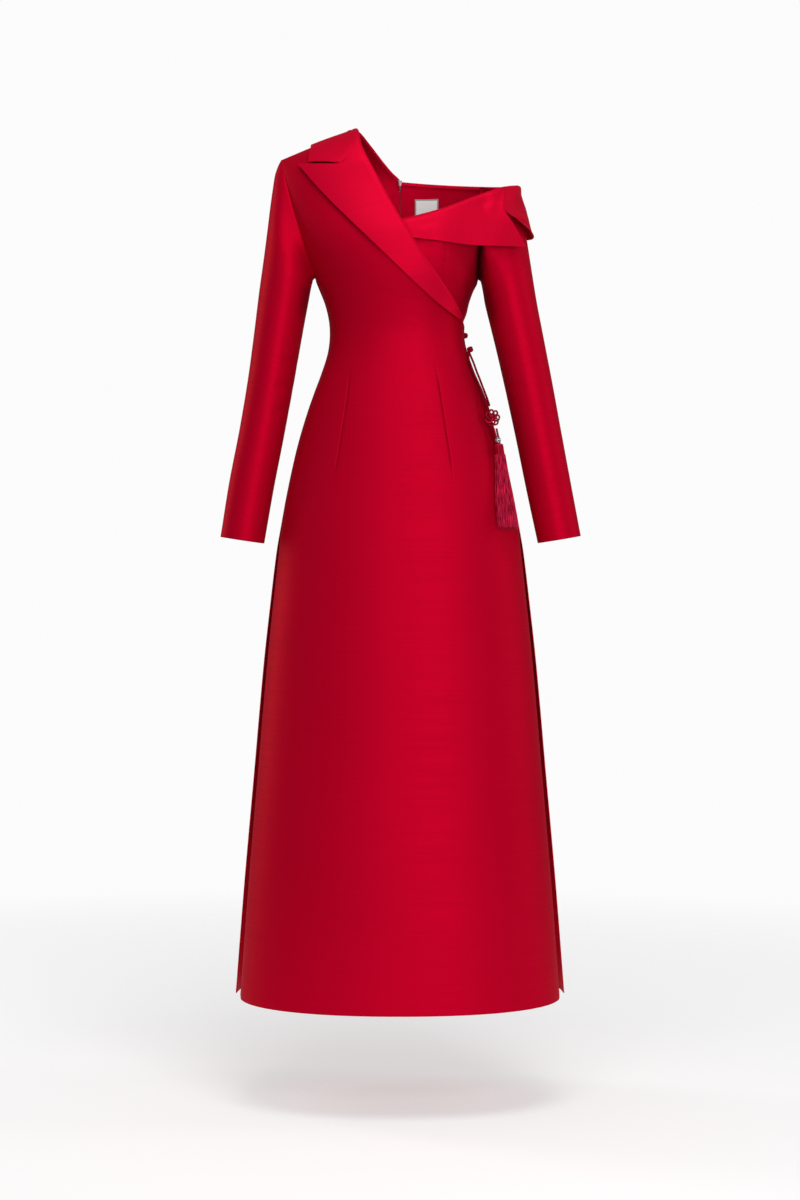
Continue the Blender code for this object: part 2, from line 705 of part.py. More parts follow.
def clear_of_left(point, far_from, facing):
    """The point moved to the front or the back until it is clear of the chest and the arm."""
    clear = LIFT + 0.0008
    limit = None
    if 0 < point.x < armhole_left_x(point.z) + 0.004:
        limit = abs(surface_y(facing, min(point.x, armhole_left_x(point.z)), point.z))
        if facing == FRONT:
            crossing = turn_at(read(ROLL, point.z)[0], point.z)
            turn = turn_at(point.x, point.z)
            limit -= mix(UNDER_DEPTH - 0.0012, 0.0, ease((turn - crossing - 6) / 16))
    for other in far_from:
        if abs(other.x - point.x) < 0.011 and abs(other.z - point.z) < 0.013 and other.y * facing > 0:
            limit = max(limit or 0.0, abs(other.y))
    if limit is not None and point.y * facing < limit + clear:
        point.y = facing * (limit + clear)
    return point


def add_left_fold(name, table, fold, notch, bend_from_start, material):
    """A lapel or collar folded over the off-shoulder neckline."""
    arm = [p for share in even(10, 0.0, 0.2) for p in sleeve_row(LEFT, SLEEVE_LEFT, first_ring_left, share)[0]]
    near_rows, far_rows = [], []
    notch = Vector(notch) + (Vector((0.0012, -0.0010, 0.0026)) if bend_from_start else Vector())
    for k in range(STATIONS + 1):
        along = k / STATIONS
        share_round = mix(*fold, along)
        edge = low_neck(share_round)
        tangent = low_neck(min(1.0, share_round + 0.01)) - low_neck(max(0.0, share_round - 0.01))
        out = Vector((-tangent.y, tangent.x, 0)).normalized()
        out = out if out.dot(edge - Vector((0.08, 0, edge.z))) > 0 else -out
        if k == STATIONS and fold[1] == 1.0:
            out, edge.x = Vector((0, 1, 0)), CENTRE_GAP / 2
        if edge.y < -0.06:
            crossing = turn_at(read(ROLL, edge.z)[0], edge.z)
            sunk = mix(UNDER_DEPTH, 0.0, ease((turn_at(edge.x, edge.z) - crossing - 6) / 16))
            edge = edge - out * sunk
        near, far = fold_points(edge, out, Vector((0, 0, 1)), WRAPPED)
        free = Vector(read(table, along))
        bend = ease((along - 0.70) / 0.30) if not bend_from_start else 1 - ease(along / 0.22)
        ring = []
        for share in FALL:
            point = bent(edge, notch, free, share, bend) + out * LEFT_BULGE * 4 * share * (1 - share)
            facing = FRONT if point.y < 0 else BACK
            if abs(point.y) > 0.012:
                clear_of_left(point, arm, facing)
            ring.append(point)
        near += ring
        near_rows.append(near)
        far_rows.append(far)
    for i, near in enumerate(near_rows):
        ahead, behind = near_rows[min(i + 1, STATIONS)], near_rows[max(i - 1, 0)]
        for j in range(4, len(near)):
            down = near[min(j + 1, len(near) - 1)] - near[j - 1]
            out = (ahead[j] - behind[j]).cross(down).normalized()
            out = out if out.dot(near[j] - Vector((0.08, 0, near[j].z))) > 0 else -out
            if i == STATIONS and fold[1] == 1.0:
                out = Vector((0, out.y, out.z)).normalized()
            far_rows[i].append(near[j] + out * COLLAR_CLOTH)
    if bend_from_start:
        away = (near_rows[1][2] - near_rows[0][2]).normalized() * 7 * SEAM
        near_rows[0] = [p + away for p in near_rows[0]]
        far_rows[0] = [p + away for p in far_rows[0]]
    return add_wall(name, far_rows, near_rows, material)


# ---------------------------------------------------------------- label and zip
def inside_patch(name, low_x, high_x, low_height, high_height, columns, rows, depths, material):
    """A patch on the inside of the back. `depths` gives its two sides' depth over its width."""
    outer, inner = [], []
    for height in even(rows, low_height, high_height):
        outer_row, inner_row = [], []
        for share in columns:
            x = mix(low_x, high_x, share)
            turn = turn_at(x, height)
            point, out = on_body(BACK, turn, height), out_of_body(BACK, turn, height)
            near, far = depths(share)
            outer_row.append(point - out * near)
            inner_row.append(point - out * far)
        outer.append(outer_row)
        inner.append(inner_row)
    return add_wall(name, outer, inner, material)


LABEL = (0.0246, 0.0632, 1.2375, 1.2870)  # from x to x, and from height to height
LABEL_CLOTH = 0.0010
ZIP_WIDTH, ZIP_FOOT, ZIP_TOP = 0.022, 0.800, 1.3000
TAPE, COIL = 0.0010, 0.0030  # thickness of the tape, and at the coil down its middle
INSIDE = CLOTH + 0.0007


def add_label(material):
    return inside_patch("label", *LABEL, even(4), 4, lambda share: (INSIDE, INSIDE + LABEL_CLOTH), material)


def add_zip(material):
    columns = (0.0, 0.25, 0.40, 0.44, 0.56, 0.60, 0.75, 1.0)

    def depths(share):
        return INSIDE, INSIDE + (COIL if 0.43 < share < 0.57 else TAPE)

    size = (-ZIP_WIDTH / 2, ZIP_WIDTH / 2, ZIP_FOOT, ZIP_TOP)
    return inside_patch("zip", *size, columns, 18, depths, material)


def box_solid(low, high):
    xs, ys, zs = zip(low, high)
    points = [Vector((x, y, z)) for x in xs for y in ys for z in zs]
    faces = [(0, 1, 3, 2), (4, 6, 7, 5), (0, 4, 5, 1), (2, 3, 7, 6), (0, 2, 6, 4), (1, 5, 7, 3)]
    return points, faces


def eye_solid(centre, radius, hole, half_width, sides=16):
    """A flat ring round an axis along X."""
    points, faces = [], []
    for i in range(sides):
        angle = 2 * math.pi * i / sides
        for reach, side in ((radius, -1), (radius, 1), (hole, 1), (hole, -1)):
            turned = Vector((side * half_width, reach * math.cos(angle), reach * math.sin(angle)))
            points.append(Vector(centre) + turned)
    for i in range(sides):
        a, b = 4 * i, 4 * ((i + 1) % sides)
        faces += [(a + k, a + (k + 1) % 4, b + (k + 1) % 4, b + k) for k in range(4)]
    return points, faces


def united(name, solids, material, at=HELD_AT):
    """One body from several solids that overlap."""
    made = [add_solid(f"{name}_{i}", *solid, material) for i, solid in enumerate(solids)]
    for other in made[1:]:
        union = made[0].modifiers.new("join", "BOOLEAN")
        union.operation, union.solver, union.object = "UNION", "EXACT", other
    bpy.context.view_layer.update()
    whole = bpy.data.meshes.new_from_object(made[0].evaluated_get(bpy.context.evaluated_depsgraph_get()))
    points = [v.co + Vector(HELD_AT) for v in whole.vertices]
    faces = [tuple(p.vertices) for p in whole.polygons]
    for thing in made:
        bpy.data.objects.remove(thing, do_unlink=True)
    return add_solid(name, points, faces, material, at)


PULL_AXIS = (0.0, 0.0992, 1.3140)
SLIDER_BODY = ((-0.0034, 0.0768, 1.3060), (0.0034, 0.0796, 1.3157))
SLIDER_NECK = ((-0.0006, 0.0790, 1.3125), (0.0006, 0.0978, 1.3155))
EYE_RADIUS, EYE_HOLE, EYE_HALF_WIDTH = 0.0019, 0.00105, 0.0006
PULL_COLUMNS, PULL_ROWS = (-0.0025, -0.0015, 0.0015, 0.0025), (0.00045, -0.00045, -0.0032, -0.0150, -0.0180)
PULL_THICKNESS = 0.0008
PULL_TIP = 0.6  # width of the tip against the rest


def add_zip_slider(material):
    eye = eye_solid(PULL_AXIS, EYE_RADIUS, EYE_HOLE, EYE_HALF_WIDTH)
    return united("zip_slider", [box_solid(*SLIDER_BODY), box_solid(*SLIDER_NECK), eye], material)


def add_zip_pull(material):
    """A flat tab whose top bar turns in the slider's eye."""
    points, faces, columns = [], [], len(PULL_COLUMNS)
    for side in (-1, 1):
        for drop in PULL_ROWS:
            narrow = PULL_TIP if drop == PULL_ROWS[-1] else 1.0
            for across in PULL_COLUMNS:
                place = Vector((across * narrow, side * PULL_THICKNESS / 2, drop))
                points.append(Vector(PULL_AXIS) + place)
    back = columns * len(PULL_ROWS)
    cells = {(i, j) for i in range(len(PULL_ROWS) - 1) for j in range(columns - 1)} - {(1, 1)}
    for i, j in sorted(cells):
        a = i * columns + j
        b, c, d = a + 1, a + columns + 1, a + columns
        faces += [(a, b, c, d), (back + d, back + c, back + b, back + a)]
        beyond = (((i - 1, j), (b, a)), ((i, j + 1), (c, b)), ((i + 1, j), (d, c)), ((i, j - 1), (a, d)))
        for cell, (first, second) in beyond:
            if cell not in cells:
                faces.append((first, second, back + second, back + first))
    return add_solid("zip_pull", points, faces, material, PULL_AXIS)


# ---------------------------------------------------------------- buttons, cords and tassel
def lathe(name, foot, axis, profile, sides, material):
    """A solid turned about an axis. The profile's rows are (along the axis, radius) and end at 0."""
    axis = axis.normalized()
    side = axis.orthogonal().normalized()
    points, faces = [foot + axis * profile[0][0]], []
    for along, radius in profile[1:-1]:
        for i in range(sides):
            angle = 2 * math.pi * i / sides
            reach = side * math.cos(angle) + axis.cross(side) * math.sin(angle)
            points.append(foot + axis * along + reach * radius)
    points.append(foot + axis * profile[-1][0])
    rings = len(profile) - 2
    for i in range(sides):
        j = (i + 1) % sides
        faces.append((0, 1 + j, 1 + i))
        for k in range(rings - 1):
            a, b = 1 + k * sides + i, 1 + k * sides + j
            faces.append((a, b, b + sides, a + sides))
        last = 1 + (rings - 1) * sides
        faces.append((last + i, last + j, len(points) - 1))
    return add_solid(name, points, faces, material)


BUTTON_COLUMNS = ("along", "radius")
BUTTON = (
    (0.0006, 0.0),
    (0.0006, 0.0016),
    (0.0018, 0.0016),
    (0.0022, 0.0030),
    (0.0036, 0.0044),
    (0.0054, 0.0048),
    (0.0072, 0.0043),
    (0.0088, 0.0027),
    (0.0096, 0.0),
)
BUTTONS = (("button_1", BACK, 74.0, 1.0560), ("button_2", FRONT, 84.0, 1.0280))  # name, panel, turn and height


def add_button(name, facing, turn, height, material):
    return lathe(name, on_body(facing, turn, height), out_of_body(facing, turn, height), BUTTON, 12, material)


CORD_RADIUS = 0.0018
CORD_COLUMNS = ("share", "turn", "height", "lift")
TASSEL_CORDS = (
    (
        "tassel_cord_1",
        ((0.0, 77.0, 1.0165, 0.0042), (0.2, 78.6, 1.0060, 0.0042), (0.45, 77.5, 0.9850, 0.0042))
        + ((0.7, 71.5, 0.9620, 0.0056), (0.88, 68.0, 0.9450, 0.0082), (1.0, 64.8, 0.9335, 0.0115)),
    ),
    (
        "tassel_cord_2",
        ((0.0, 69.0, 1.0170, 0.0038), (0.2, 66.3, 1.0050, 0.0038), (0.45, 66.8, 0.9850, 0.0040))
        + ((0.7, 65.0, 0.9610, 0.0060), (0.88, 62.6, 0.9440, 0.0090), (1.0, 60.6, 0.9335, 0.0120)),
    ),
)


def add_cord(name, table, material):
    line = bpy.data.curves.new(name, "CURVE")
    line.dimensions, line.bevel_depth, line.bevel_resolution = "3D", CORD_RADIUS, 2
    line.use_fill_caps = True
    steps = 15
    spline = line.splines.new("POLY")
    spline.points.add(steps)
    for k in range(steps + 1):
        turn, height, lift = read(table, k / steps)
        point = on_body(FRONT, turn, height) + out_of_body(FRONT, turn, height) * lift
        spline.points[k].co = (*(point - Vector(HELD_AT)), 1.0)
    line.materials.append(material)
    thing = bpy.data.objects.new(name, line)
    bpy.context.collection.objects.link(thing)
    return thing


def beside_body(turn, height, lift):
    return on_body(FRONT, turn, height) + out_of_body(FRONT, turn, height) * lift


FACING_OUT = Vector((math.sin(math.radians(16)), -math.cos(math.radians(16)), 0))
KNOT_AT = (63.2, 0.9137, 0.0140)  # turn, height and lift of its middle
KNOT_RADIUS, KNOT_WAVE, KNOT_RISE, KNOT_CORD = 0.0076, 0.0042, 0.0021, 0.00155
KNOT_TURNS, KNOT_PETALS = 2, 5
BEAD_OVER_HEAD = 0.0062  # middle of the bead, up the stem from the head
HEAD_AT, SKIRT_AT = (64.6, 0.8725, 0.0115), (53.4, 0.7375, 0.0190)


def add_knot(material):
    """A flat interlaced ring of one cord that crosses over and under itself."""
    middle, out = beside_body(*KNOT_AT), FACING_OUT
    across = Vector((0, 0, 1)).cross(out).normalized()
    along = out.cross(across)
    steps, sides = 50, 6

    def at(k):
        angle = 2 * math.pi * KNOT_TURNS * k / steps
        wave = angle * KNOT_PETALS / KNOT_TURNS
        radius = KNOT_RADIUS + KNOT_WAVE * math.cos(wave)
        flat = across * math.cos(angle) + along * math.sin(angle) * 1.12
        return middle + flat * radius + out * KNOT_RISE * math.sin(wave)

    points, faces = [], []
    for k in range(steps):
        tangent = (at(k + 1) - at(k - 1)).normalized()
        side = tangent.cross(out).normalized()
        over = side.cross(tangent)
        for i in range(sides):
            angle = 2 * math.pi * i / sides
            points.append(at(k) + (side * math.cos(angle) + over * math.sin(angle)) * KNOT_CORD)
    for k in range(steps):
        for i in range(sides):
            a, b = k * sides + i, k * sides + (i + 1) % sides
            c, d = (k + 1) % steps * sides + (i + 1) % sides, (k + 1) % steps * sides + i
            faces.append((a, b, c, d))
    return add_solid("tassel_knot", points, faces, material)


def tassel_axis():
    top, foot = beside_body(*HEAD_AT), beside_body(*SKIRT_AT)
    return top, foot


def add_bead(material):
    """A ring round the tassel's stem."""
    top, foot = tassel_axis()
    up = (beside_body(*KNOT_AT) - top).normalized()
    side = up.orthogonal().normalized()
    profile = ((-0.0042, 0.0024), (-0.0042, 0.0040), (-0.0018, 0.0054), (0.0018, 0.0054), (0.0042, 0.0040))
    profile += ((0.0042, 0.0024),)
    sides, points, faces = 12, [], []
    middle = top + up * BEAD_OVER_HEAD
    for i in range(sides):
        angle = 2 * math.pi * i / sides
        reach = side * math.cos(angle) + up.cross(side) * math.sin(angle)
        points += [middle + up * along + reach * radius for along, radius in profile]
    count = len(profile)
    for i in range(sides):
        a, b = i * count, (i + 1) % sides * count
        faces += [(a + k, a + (k + 1) % count, b + (k + 1) % count, b + k) for k in range(count)]
    return add_solid("tassel_bead", points, faces, material)


STEM_LENGTH, STEM_RADIUS = 0.0250, 0.0017
HEAD_COLUMNS = ("below_top", "radius")
HEAD = ((0.0, 0.0035), (0.0015, 0.0062), (0.0065, 0.0066), (0.0080, 0.0058), (0.0185, 0.0064), (0.0200, 0.0080))
STRAND_RINGS = (0.0010, 0.0030, 0.0052, 0.0078)  # radii between the rings of strands
STRANDS_ROUND = 14
STRAND_INSET = 0.16  # share of a strand's cell that is left clear on each side
SKIRT_HALF_WIDTH, SKIRT_HALF_THICKNESS = 0.0165, 0.0050


def add_tassel(material):
    """The head, with strands that are drawn down out of its underside."""
    top, foot = tassel_axis()
    up = (beside_body(*KNOT_AT) - top).normalized()
    down = (foot - top).normalized()
    out = FACING_OUT
    wide = down.cross(out).normalized()
    thin = wide.cross(down)
    spread = Vector((-FACING_OUT.y, FACING_OUT.x, 0.0))
    spread = (spread - spread.dot(down) * down).normalized()
    if spread.dot(wide) < 0:
        wide.negate()
    flat = spread.cross(down)
    if flat.dot(thin) < 0:
        flat.negate()
    made = bmesh.new()
    sides = STRANDS_ROUND

    def ring(centre, radius, first=wide, second=thin):
        places = []
        for i in range(sides):
            angle = 2 * math.pi * i / sides
            spoke = first * math.cos(angle) + second * math.sin(angle)
            places.append(made.verts.new(centre + spoke * radius))
        return places

    side = (wide - wide.dot(up) * up).normalized()
    other = (thin - thin.dot(up) * up).normalized()
    rings = [ring(top + up * STEM_LENGTH, STEM_RADIUS, side, other), ring(top, STEM_RADIUS)]
    rings += [ring(top + down * below, radius) for below, radius in HEAD]
    underside = HEAD[-1][0]
    rings += [ring(top + down * underside, radius) for radius in STRAND_RINGS[-2::-1]]
    for upper, lower in zip(rings, rings[1:]):
        for i in range(sides):
            j = (i + 1) % sides
            made.faces.new((upper[i], upper[j], lower[j], lower[i]))
    made.faces.new(rings[0][::-1])
    made.faces.new(rings[-1])
    cells = []
    under = [rings[len(HEAD) + 1]] + rings[len(HEAD) + 2 :]
    for upper, lower in zip(under, under[1:]):
        for i in range(sides):
            j = (i + 1) % sides
            corners = {upper[i], upper[j], lower[j], lower[i]}
            cells.append(next(f for f in upper[i].link_faces if set(f.verts) == corners))
    length = (foot - top).length - underside
    for number, cell in enumerate(cells):
        corners = list(cell.verts)
        made.faces.remove(cell)
        middle = sum((v.co for v in corners), Vector()) / 4
        rest = middle - (top + down * underside)
        across, through = rest.dot(wide) / HEAD[-1][1], rest.dot(thin) / HEAD[-1][1]
        loops = [corners]
        inset = [made.verts.new(v.co.lerp(middle, 2 * STRAND_INSET)) for v in corners]
        loops.append(inset)
        ragged = 1 - 0.035 * ((number * 7) % 5) / 4
        for share in (0.45, 1.0):
            open_out = ease(share * 1.2) if share < 1 else 1.0
            target = top + down * (underside + length * share * ragged)
            spread_at = spread * across * mix(HEAD[-1][1], SKIRT_HALF_WIDTH, open_out)
            flat_at = flat * through * mix(HEAD[-1][1], SKIRT_HALF_THICKNESS, open_out)
            size = mix(1.0, 0.9, share)
            loop = [made.verts.new(target + spread_at + flat_at + (v.co - middle) * size) for v in inset]
            loops.append(loop)
        for first, second in zip(loops, loops[1:]):
            for i in range(4):
                made.faces.new((first[i], first[(i + 1) % 4], second[(i + 1) % 4], second[i]))
        made.faces.new(loops[-1])
    bmesh.ops.recalc_face_normals(made, faces=made.faces)
    made.verts.index_update()
    points = [v.co.copy() for v in made.verts]
    faces = [tuple(v.index for v in f.verts) for f in made.faces]
    made.free()
    return add_solid("tassel", points, faces, material)

SATIN = paint("red_satin", (0.36, 0.004, 0.018), 0.42)
add_front(SATIN)
add_under_front(SATIN)
add_back(RIGHT, SATIN)
add_back(LEFT, SATIN)
add_sleeve("sleeve_right", RIGHT, SLEEVE_RIGHT, first_ring_right, Vector((-0.960, 0, -0.280)), SATIN)
add_sleeve("sleeve_left", LEFT, SLEEVE_LEFT, first_ring_left, Vector((0.9988, 0, -0.050)), SATIN)
add_lapel_right(SATIN)
add_collar_right(SATIN)
add_left_fold("lapel_left", LAPEL_LEFT, LAPEL_LEFT_FOLD, NOTCH_LEFT, False, SATIN)
add_left_fold("collar_left", COLLAR_LEFT, (LAPEL_LEFT_FOLD[1], 1.0), NOTCH_LEFT, True, SATIN)
TAPE_CLOTH = paint("zip_tape", (0.30, 0.003, 0.015), 0.6)
LABEL_WHITE = paint("label_white", (0.75, 0.75, 0.73), 0.7)
METAL = paint("zip_metal", (0.55, 0.45, 0.45), 0.35, 0.9)
SILVER = paint("silver", (0.75, 0.75, 0.78), 0.2, 1.0)
CORD = paint("red_cord", (0.30, 0.003, 0.015), 0.55)
SILK = paint("tassel_silk", (0.55, 0.012, 0.06), 0.5)
add_label(LABEL_WHITE)
add_zip(TAPE_CLOTH)
add_zip_slider(METAL)
add_zip_pull(METAL)
for button in BUTTONS:
    add_button(*button, CORD)
for cord in TASSEL_CORDS:
    add_cord(*cord, CORD)
add_knot(CORD)
add_bead(SILVER)
add_tassel(SILK)
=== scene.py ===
# %% [markdown]
# # A long satin tunic
# The tunic is worn filled out but with nobody in it. A rigid model of every cut piece is already
# there as a frame, and this lesson dresses it: each panel, sleeve, lapel and collar becomes a thin
# shell of satin on the form of its solid, and the zip, buttons, cord and tassel get their detail.

# %% Load the frame
import math

import bmesh
import bpy
import numpy as np
from mathutils import Matrix, Vector


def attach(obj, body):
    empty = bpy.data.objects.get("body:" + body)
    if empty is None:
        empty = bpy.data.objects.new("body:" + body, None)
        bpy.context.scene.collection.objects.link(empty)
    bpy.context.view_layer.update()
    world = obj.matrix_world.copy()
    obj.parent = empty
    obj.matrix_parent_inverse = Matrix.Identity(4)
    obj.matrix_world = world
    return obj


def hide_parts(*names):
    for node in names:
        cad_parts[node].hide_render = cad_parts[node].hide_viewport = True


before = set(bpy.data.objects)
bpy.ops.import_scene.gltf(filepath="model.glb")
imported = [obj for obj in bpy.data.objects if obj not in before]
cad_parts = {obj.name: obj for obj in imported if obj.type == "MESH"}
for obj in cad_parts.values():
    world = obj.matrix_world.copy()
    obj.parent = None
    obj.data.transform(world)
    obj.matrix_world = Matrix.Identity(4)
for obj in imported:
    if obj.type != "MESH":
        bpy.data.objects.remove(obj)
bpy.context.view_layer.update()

# %% [markdown]
# The pattern of the tunic is drafted with its hem at height 0 and its centre at x = 0, while the
# frame has its origin where the right shoulder holds the tunic up. Everything is drafted in the
# pattern's own sizes and moved by one step at the very end, so the numbers stay readable.

# %% The pattern's place in the frame
HELD_AT = Vector((-0.1244, 0.0, 1.3585))


def placed(point):
    return Vector(point) - HELD_AT


# %% [markdown]
# A portrait lens looks straight ahead at the height of the thighs, from 3.6 m. From there the two
# sides of the skirt spread evenly, and the neckline is seen a little from below its edge.

# %% Camera
EYE = placed((0.0, -3.6, 0.630))
lens = bpy.data.cameras.new("camera")
lens.lens, lens.sensor_width = 67.5, 36.0
lens.clip_start, lens.clip_end = 0.05, 40
camera = bpy.data.objects.new("camera", lens)
camera.location, camera.rotation_euler = EYE, (math.radians(90), 0, 0)
bpy.context.collection.objects.link(camera)
bpy.context.scene.camera = camera
print("the camera stands at", [round(v, 3) for v in EYE])

# %% [markdown]
# Satin shows its form through long soft reflections, so the studio is built from large panels of
# light: one wide panel in front, one above for the shoulders, and a strip on each side that draws
# a bright line along the sleeves. The air is white to the lens but lights the cloth only dimly, so
# its hollows stay deep.

# %% Studio
FLOOR = placed((0, 0, -0.165)).z
AIR_LIGHT, AIR_SEEN = 0.20, 0.97  # how bright the air is to the cloth, and to the lens


def deselect():
    for thing in bpy.context.selected_objects:
        thing.select_set(False)


def light_panel(name, place, aim, width, height, power):
    """A soft rectangle of light that looks from its place to what it is aimed at."""
    lamp = bpy.data.lights.new(name, "AREA")
    lamp.shape, lamp.size, lamp.size_y, lamp.energy = "RECTANGLE", width, height, power
    thing = bpy.data.objects.new(name, lamp)
    thing.location = placed(place)
    thing.rotation_euler = (Vector(aim) - Vector(place)).to_track_quat("-Z", "Y").to_euler()
    bpy.context.collection.objects.link(thing)


light_panel("front_panel", (0.75, -3.0, 1.30), (0.02, 0, 0.85), 1.7, 2.4, 44)
light_panel("left_strip", (-2.0, 1.0, 1.3), (-0.1, 0, 0.9), 0.6, 2.4, 13)
light_panel("right_strip", (2.4, 0.1, 1.2), (0.2, 0, 0.9), 0.7, 2.4, 9)
light_panel("top_panel", (0.1, -1.1, 3.0), (0, 0, 1.25), 1.4, 1.0, 24)

world = bpy.data.worlds.new("studio")
world.use_nodes = True
nodes, links = world.node_tree.nodes, world.node_tree.links
air, seen = nodes["Background"], nodes.new("ShaderNodeBackground")
for background, strength in ((air, AIR_LIGHT), (seen, AIR_SEEN)):
    background.inputs["Color"].default_value = (1, 1, 1, 1)
    background.inputs["Strength"].default_value = strength
sight, choice = nodes.new("ShaderNodeLightPath"), nodes.new("ShaderNodeMixShader")
links.new(sight.outputs["Is Camera Ray"], choice.inputs[0])
links.new(air.outputs[0], choice.inputs[1])
links.new(seen.outputs[0], choice.inputs[2])
links.new(choice.outputs[0], nodes["World Output"].inputs[0])
bpy.context.scene.world = world
bpy.context.scene.view_settings.view_transform = "Standard"
print("the studio has", len(bpy.data.lights), "panels of light")

# %% [markdown]
# ## Drafting curves
# A tailor drafts a few measured points and joins them with a smooth curve. The tables below hold
# such points, a row for each, and one function reads any of them, so a longer or wider tunic needs
# only new rows. The comment over a table names its columns.

# %% Tables and smooth curves
def clamp(value, low=0.0, high=1.0):
    return max(low, min(high, value))


def ease(value):
    share = clamp(value)
    return share * share * (3 - 2 * share)


def mix(a, b, share):
    return a + (b - a) * share


def even(count, low=0.0, high=1.0):
    return [mix(low, high, i / count) for i in range(count + 1)]


def hermite(keys, values, at):
    """Values on the smooth curve through rows of points, each row at its key."""
    keys, values, at = np.asarray(keys, float), np.asarray(values, float), np.asarray(at, float)
    wide = np.diff(keys).reshape((-1,) + (1,) * (values.ndim - 1))
    steps = np.diff(values, axis=0) / wide
    inner = (steps[:-1] * wide[1:] + steps[1:] * wide[:-1]) / (wide[:-1] + wide[1:])
    slopes = np.concatenate([steps[:1], inner, steps[-1:]])
    at = np.clip(at, keys[0], keys[-1])
    k = np.clip(np.searchsorted(keys, at), 1, len(keys) - 1)
    span = (keys[k] - keys[k - 1]).reshape((-1,) + (1,) * (values.ndim - 1))
    t = (at - keys[k - 1]).reshape(span.shape) / span
    return (
        (2 * t**3 - 3 * t**2 + 1) * values[k - 1]
        + (t**3 - 2 * t**2 + t) * span * slopes[k - 1]
        + (3 * t**2 - 2 * t**3) * values[k]
        + (t**3 - t**2) * span * slopes[k]
    )


def read(table, at):
    """The other columns of a table where its first column is `at`, on a smooth curve."""
    rows = table if table[0][0] < table[-1][0] else table[::-1]
    at = clamp(at, rows[0][0], rows[-1][0])
    k = next(i for i in range(1, len(rows)) if at <= rows[i][0])
    span = rows[k][0] - rows[k - 1][0]
    share = (at - rows[k - 1][0]) / span

    def slope(i, column):
        if i in (0, len(rows) - 1):
            a, b = (rows[0], rows[1]) if i == 0 else (rows[-2], rows[-1])
            return (b[column] - a[column]) / (b[0] - a[0])
        before, after = rows[i][0] - rows[i - 1][0], rows[i + 1][0] - rows[i][0]
        down = (rows[i][column] - rows[i - 1][column]) / before
        up = (rows[i + 1][column] - rows[i][column]) / after
        return (down * after + up * before) / (before + after)

    s2, s3 = share * share, share**3
    return [
        (2 * s3 - 3 * s2 + 1) * rows[k - 1][c]
        + (s3 - 2 * s2 + share) * span * slope(k - 1, c)
        + (3 * s2 - 2 * s3) * rows[k][c]
        + (s3 - s2) * span * slope(k, c)
        for c in range(1, len(rows[0]))
    ]


# %% [markdown]
# ## The figure under the cloth
# The body is a stack of rounded cross-sections. A superellipse a little squarer than an ellipse
# looks most like a torso, and one rounding rule carries the chest over the top of the shoulder.

# %% Body sizes
CLOTH = 0.0015  # wall of the body panels and sleeves
COLLAR_CLOTH = 0.0020  # wall of the lapels and collars, two layers of cloth
SEAM = 0.0003  # clear space between two pieces at a seam
SQUARENESS = 2.2  # 2 is an ellipse, more is squarer
FRONT, BACK = -1, 1
RIGHT, LEFT = -1, 1
SLOPE_STEP = 0.002  # how far apart two points lie that a slope is measured between

# Along the shoulder seam: distance from the centre line, height.
NECK_POINT, SHOULDER_POINT = (0.069, 1.3795), (0.190, 1.3335)
SHOULDER_LINE = (NECK_POINT, (0.1244, 1.3602), SHOULDER_POINT, (0.240, 1.3132))
SHOULDER_ROUNDING = 0.070  # drop over which the shoulder turns from its top to the chest
SHOULDER_REACH = 0.118  # length of cloth over that turn
CENTRE_GAP = 0.0024  # between the back panels, where the zip shows
print("the shoulders are", round(2 * SHOULDER_POINT[0], 3), "metres wide")

# %% [markdown]
# A filled-out tunic is a stack of cross-sections, narrow at the waist and wide at the hem. Right and
# left differ a little above the thighs, as the two sides of a standing figure do.

# %% Sections of the figure
# From the hem up: height, half width on the right, half width on the left, depth to the front,
# depth to the back.
BODY = (
    (0.000, 0.2545, 0.2545, 0.200, 0.203),
    (0.165, 0.2425, 0.2425, 0.186, 0.190),
    (0.357, 0.2265, 0.2265, 0.169, 0.174),
    (0.550, 0.2100, 0.2100, 0.151, 0.159),
    (0.694, 0.1950, 0.1950, 0.136, 0.146),
    (0.758, 0.1880, 0.1880, 0.129, 0.139),
    (0.822, 0.1760, 0.1760, 0.121, 0.131),
    (0.886, 0.1610, 0.1560, 0.112, 0.119),
    (0.950, 0.1410, 0.1385, 0.102, 0.103),
    (0.998, 0.1235, 0.1180, 0.094, 0.091),
    (1.046, 0.1115, 0.1035, 0.090, 0.084),
    (1.094, 0.1170, 0.1075, 0.101, 0.086),
    (1.142, 0.1335, 0.1245, 0.117, 0.092),
    (1.178, 0.1500, 0.1400, 0.121, 0.096),
    (1.202, 0.1630, 0.1570, 0.117, 0.098),
    (1.243, 0.1780, 0.1760, 0.103, 0.098),
    (1.285, 0.1890, 0.1880, 0.088, 0.092),
    (1.332, 0.1980, 0.1960, 0.076, 0.084),
    (1.400, 0.2000, 0.2000, 0.070, 0.080),
)
print("the figure is drafted from", len(BODY), "sections")

# %% [markdown]
# The right armhole runs in a flat plane from the underarm to the shoulder point, and the left one
# from the underarm to the neckline, which passes under that arm's shoulder.

# %% Armholes and necklines
UNDERARM_RIGHT = (-0.1350, 1.1465)
UNDERARM_LEFT = (0.1248, 1.1430)
ARMHOLE_BOW = 0.004
ARMHOLE_LEFT_LEAN = 0.050

# The crossing front's free edge, where its lapel turns back, from the left side to the neck:
# height, x.
ROLL = (
    (1.0640, 0.1060),
    (1.0717, 0.0996),
    (1.0904, 0.0896),
    (1.1251, 0.0638),
    (1.1655, 0.0340),
    (1.2241, -0.0016),
    (1.2924, -0.0375),
    (1.3511, -0.0639),
    (1.3795, -0.0690),
)

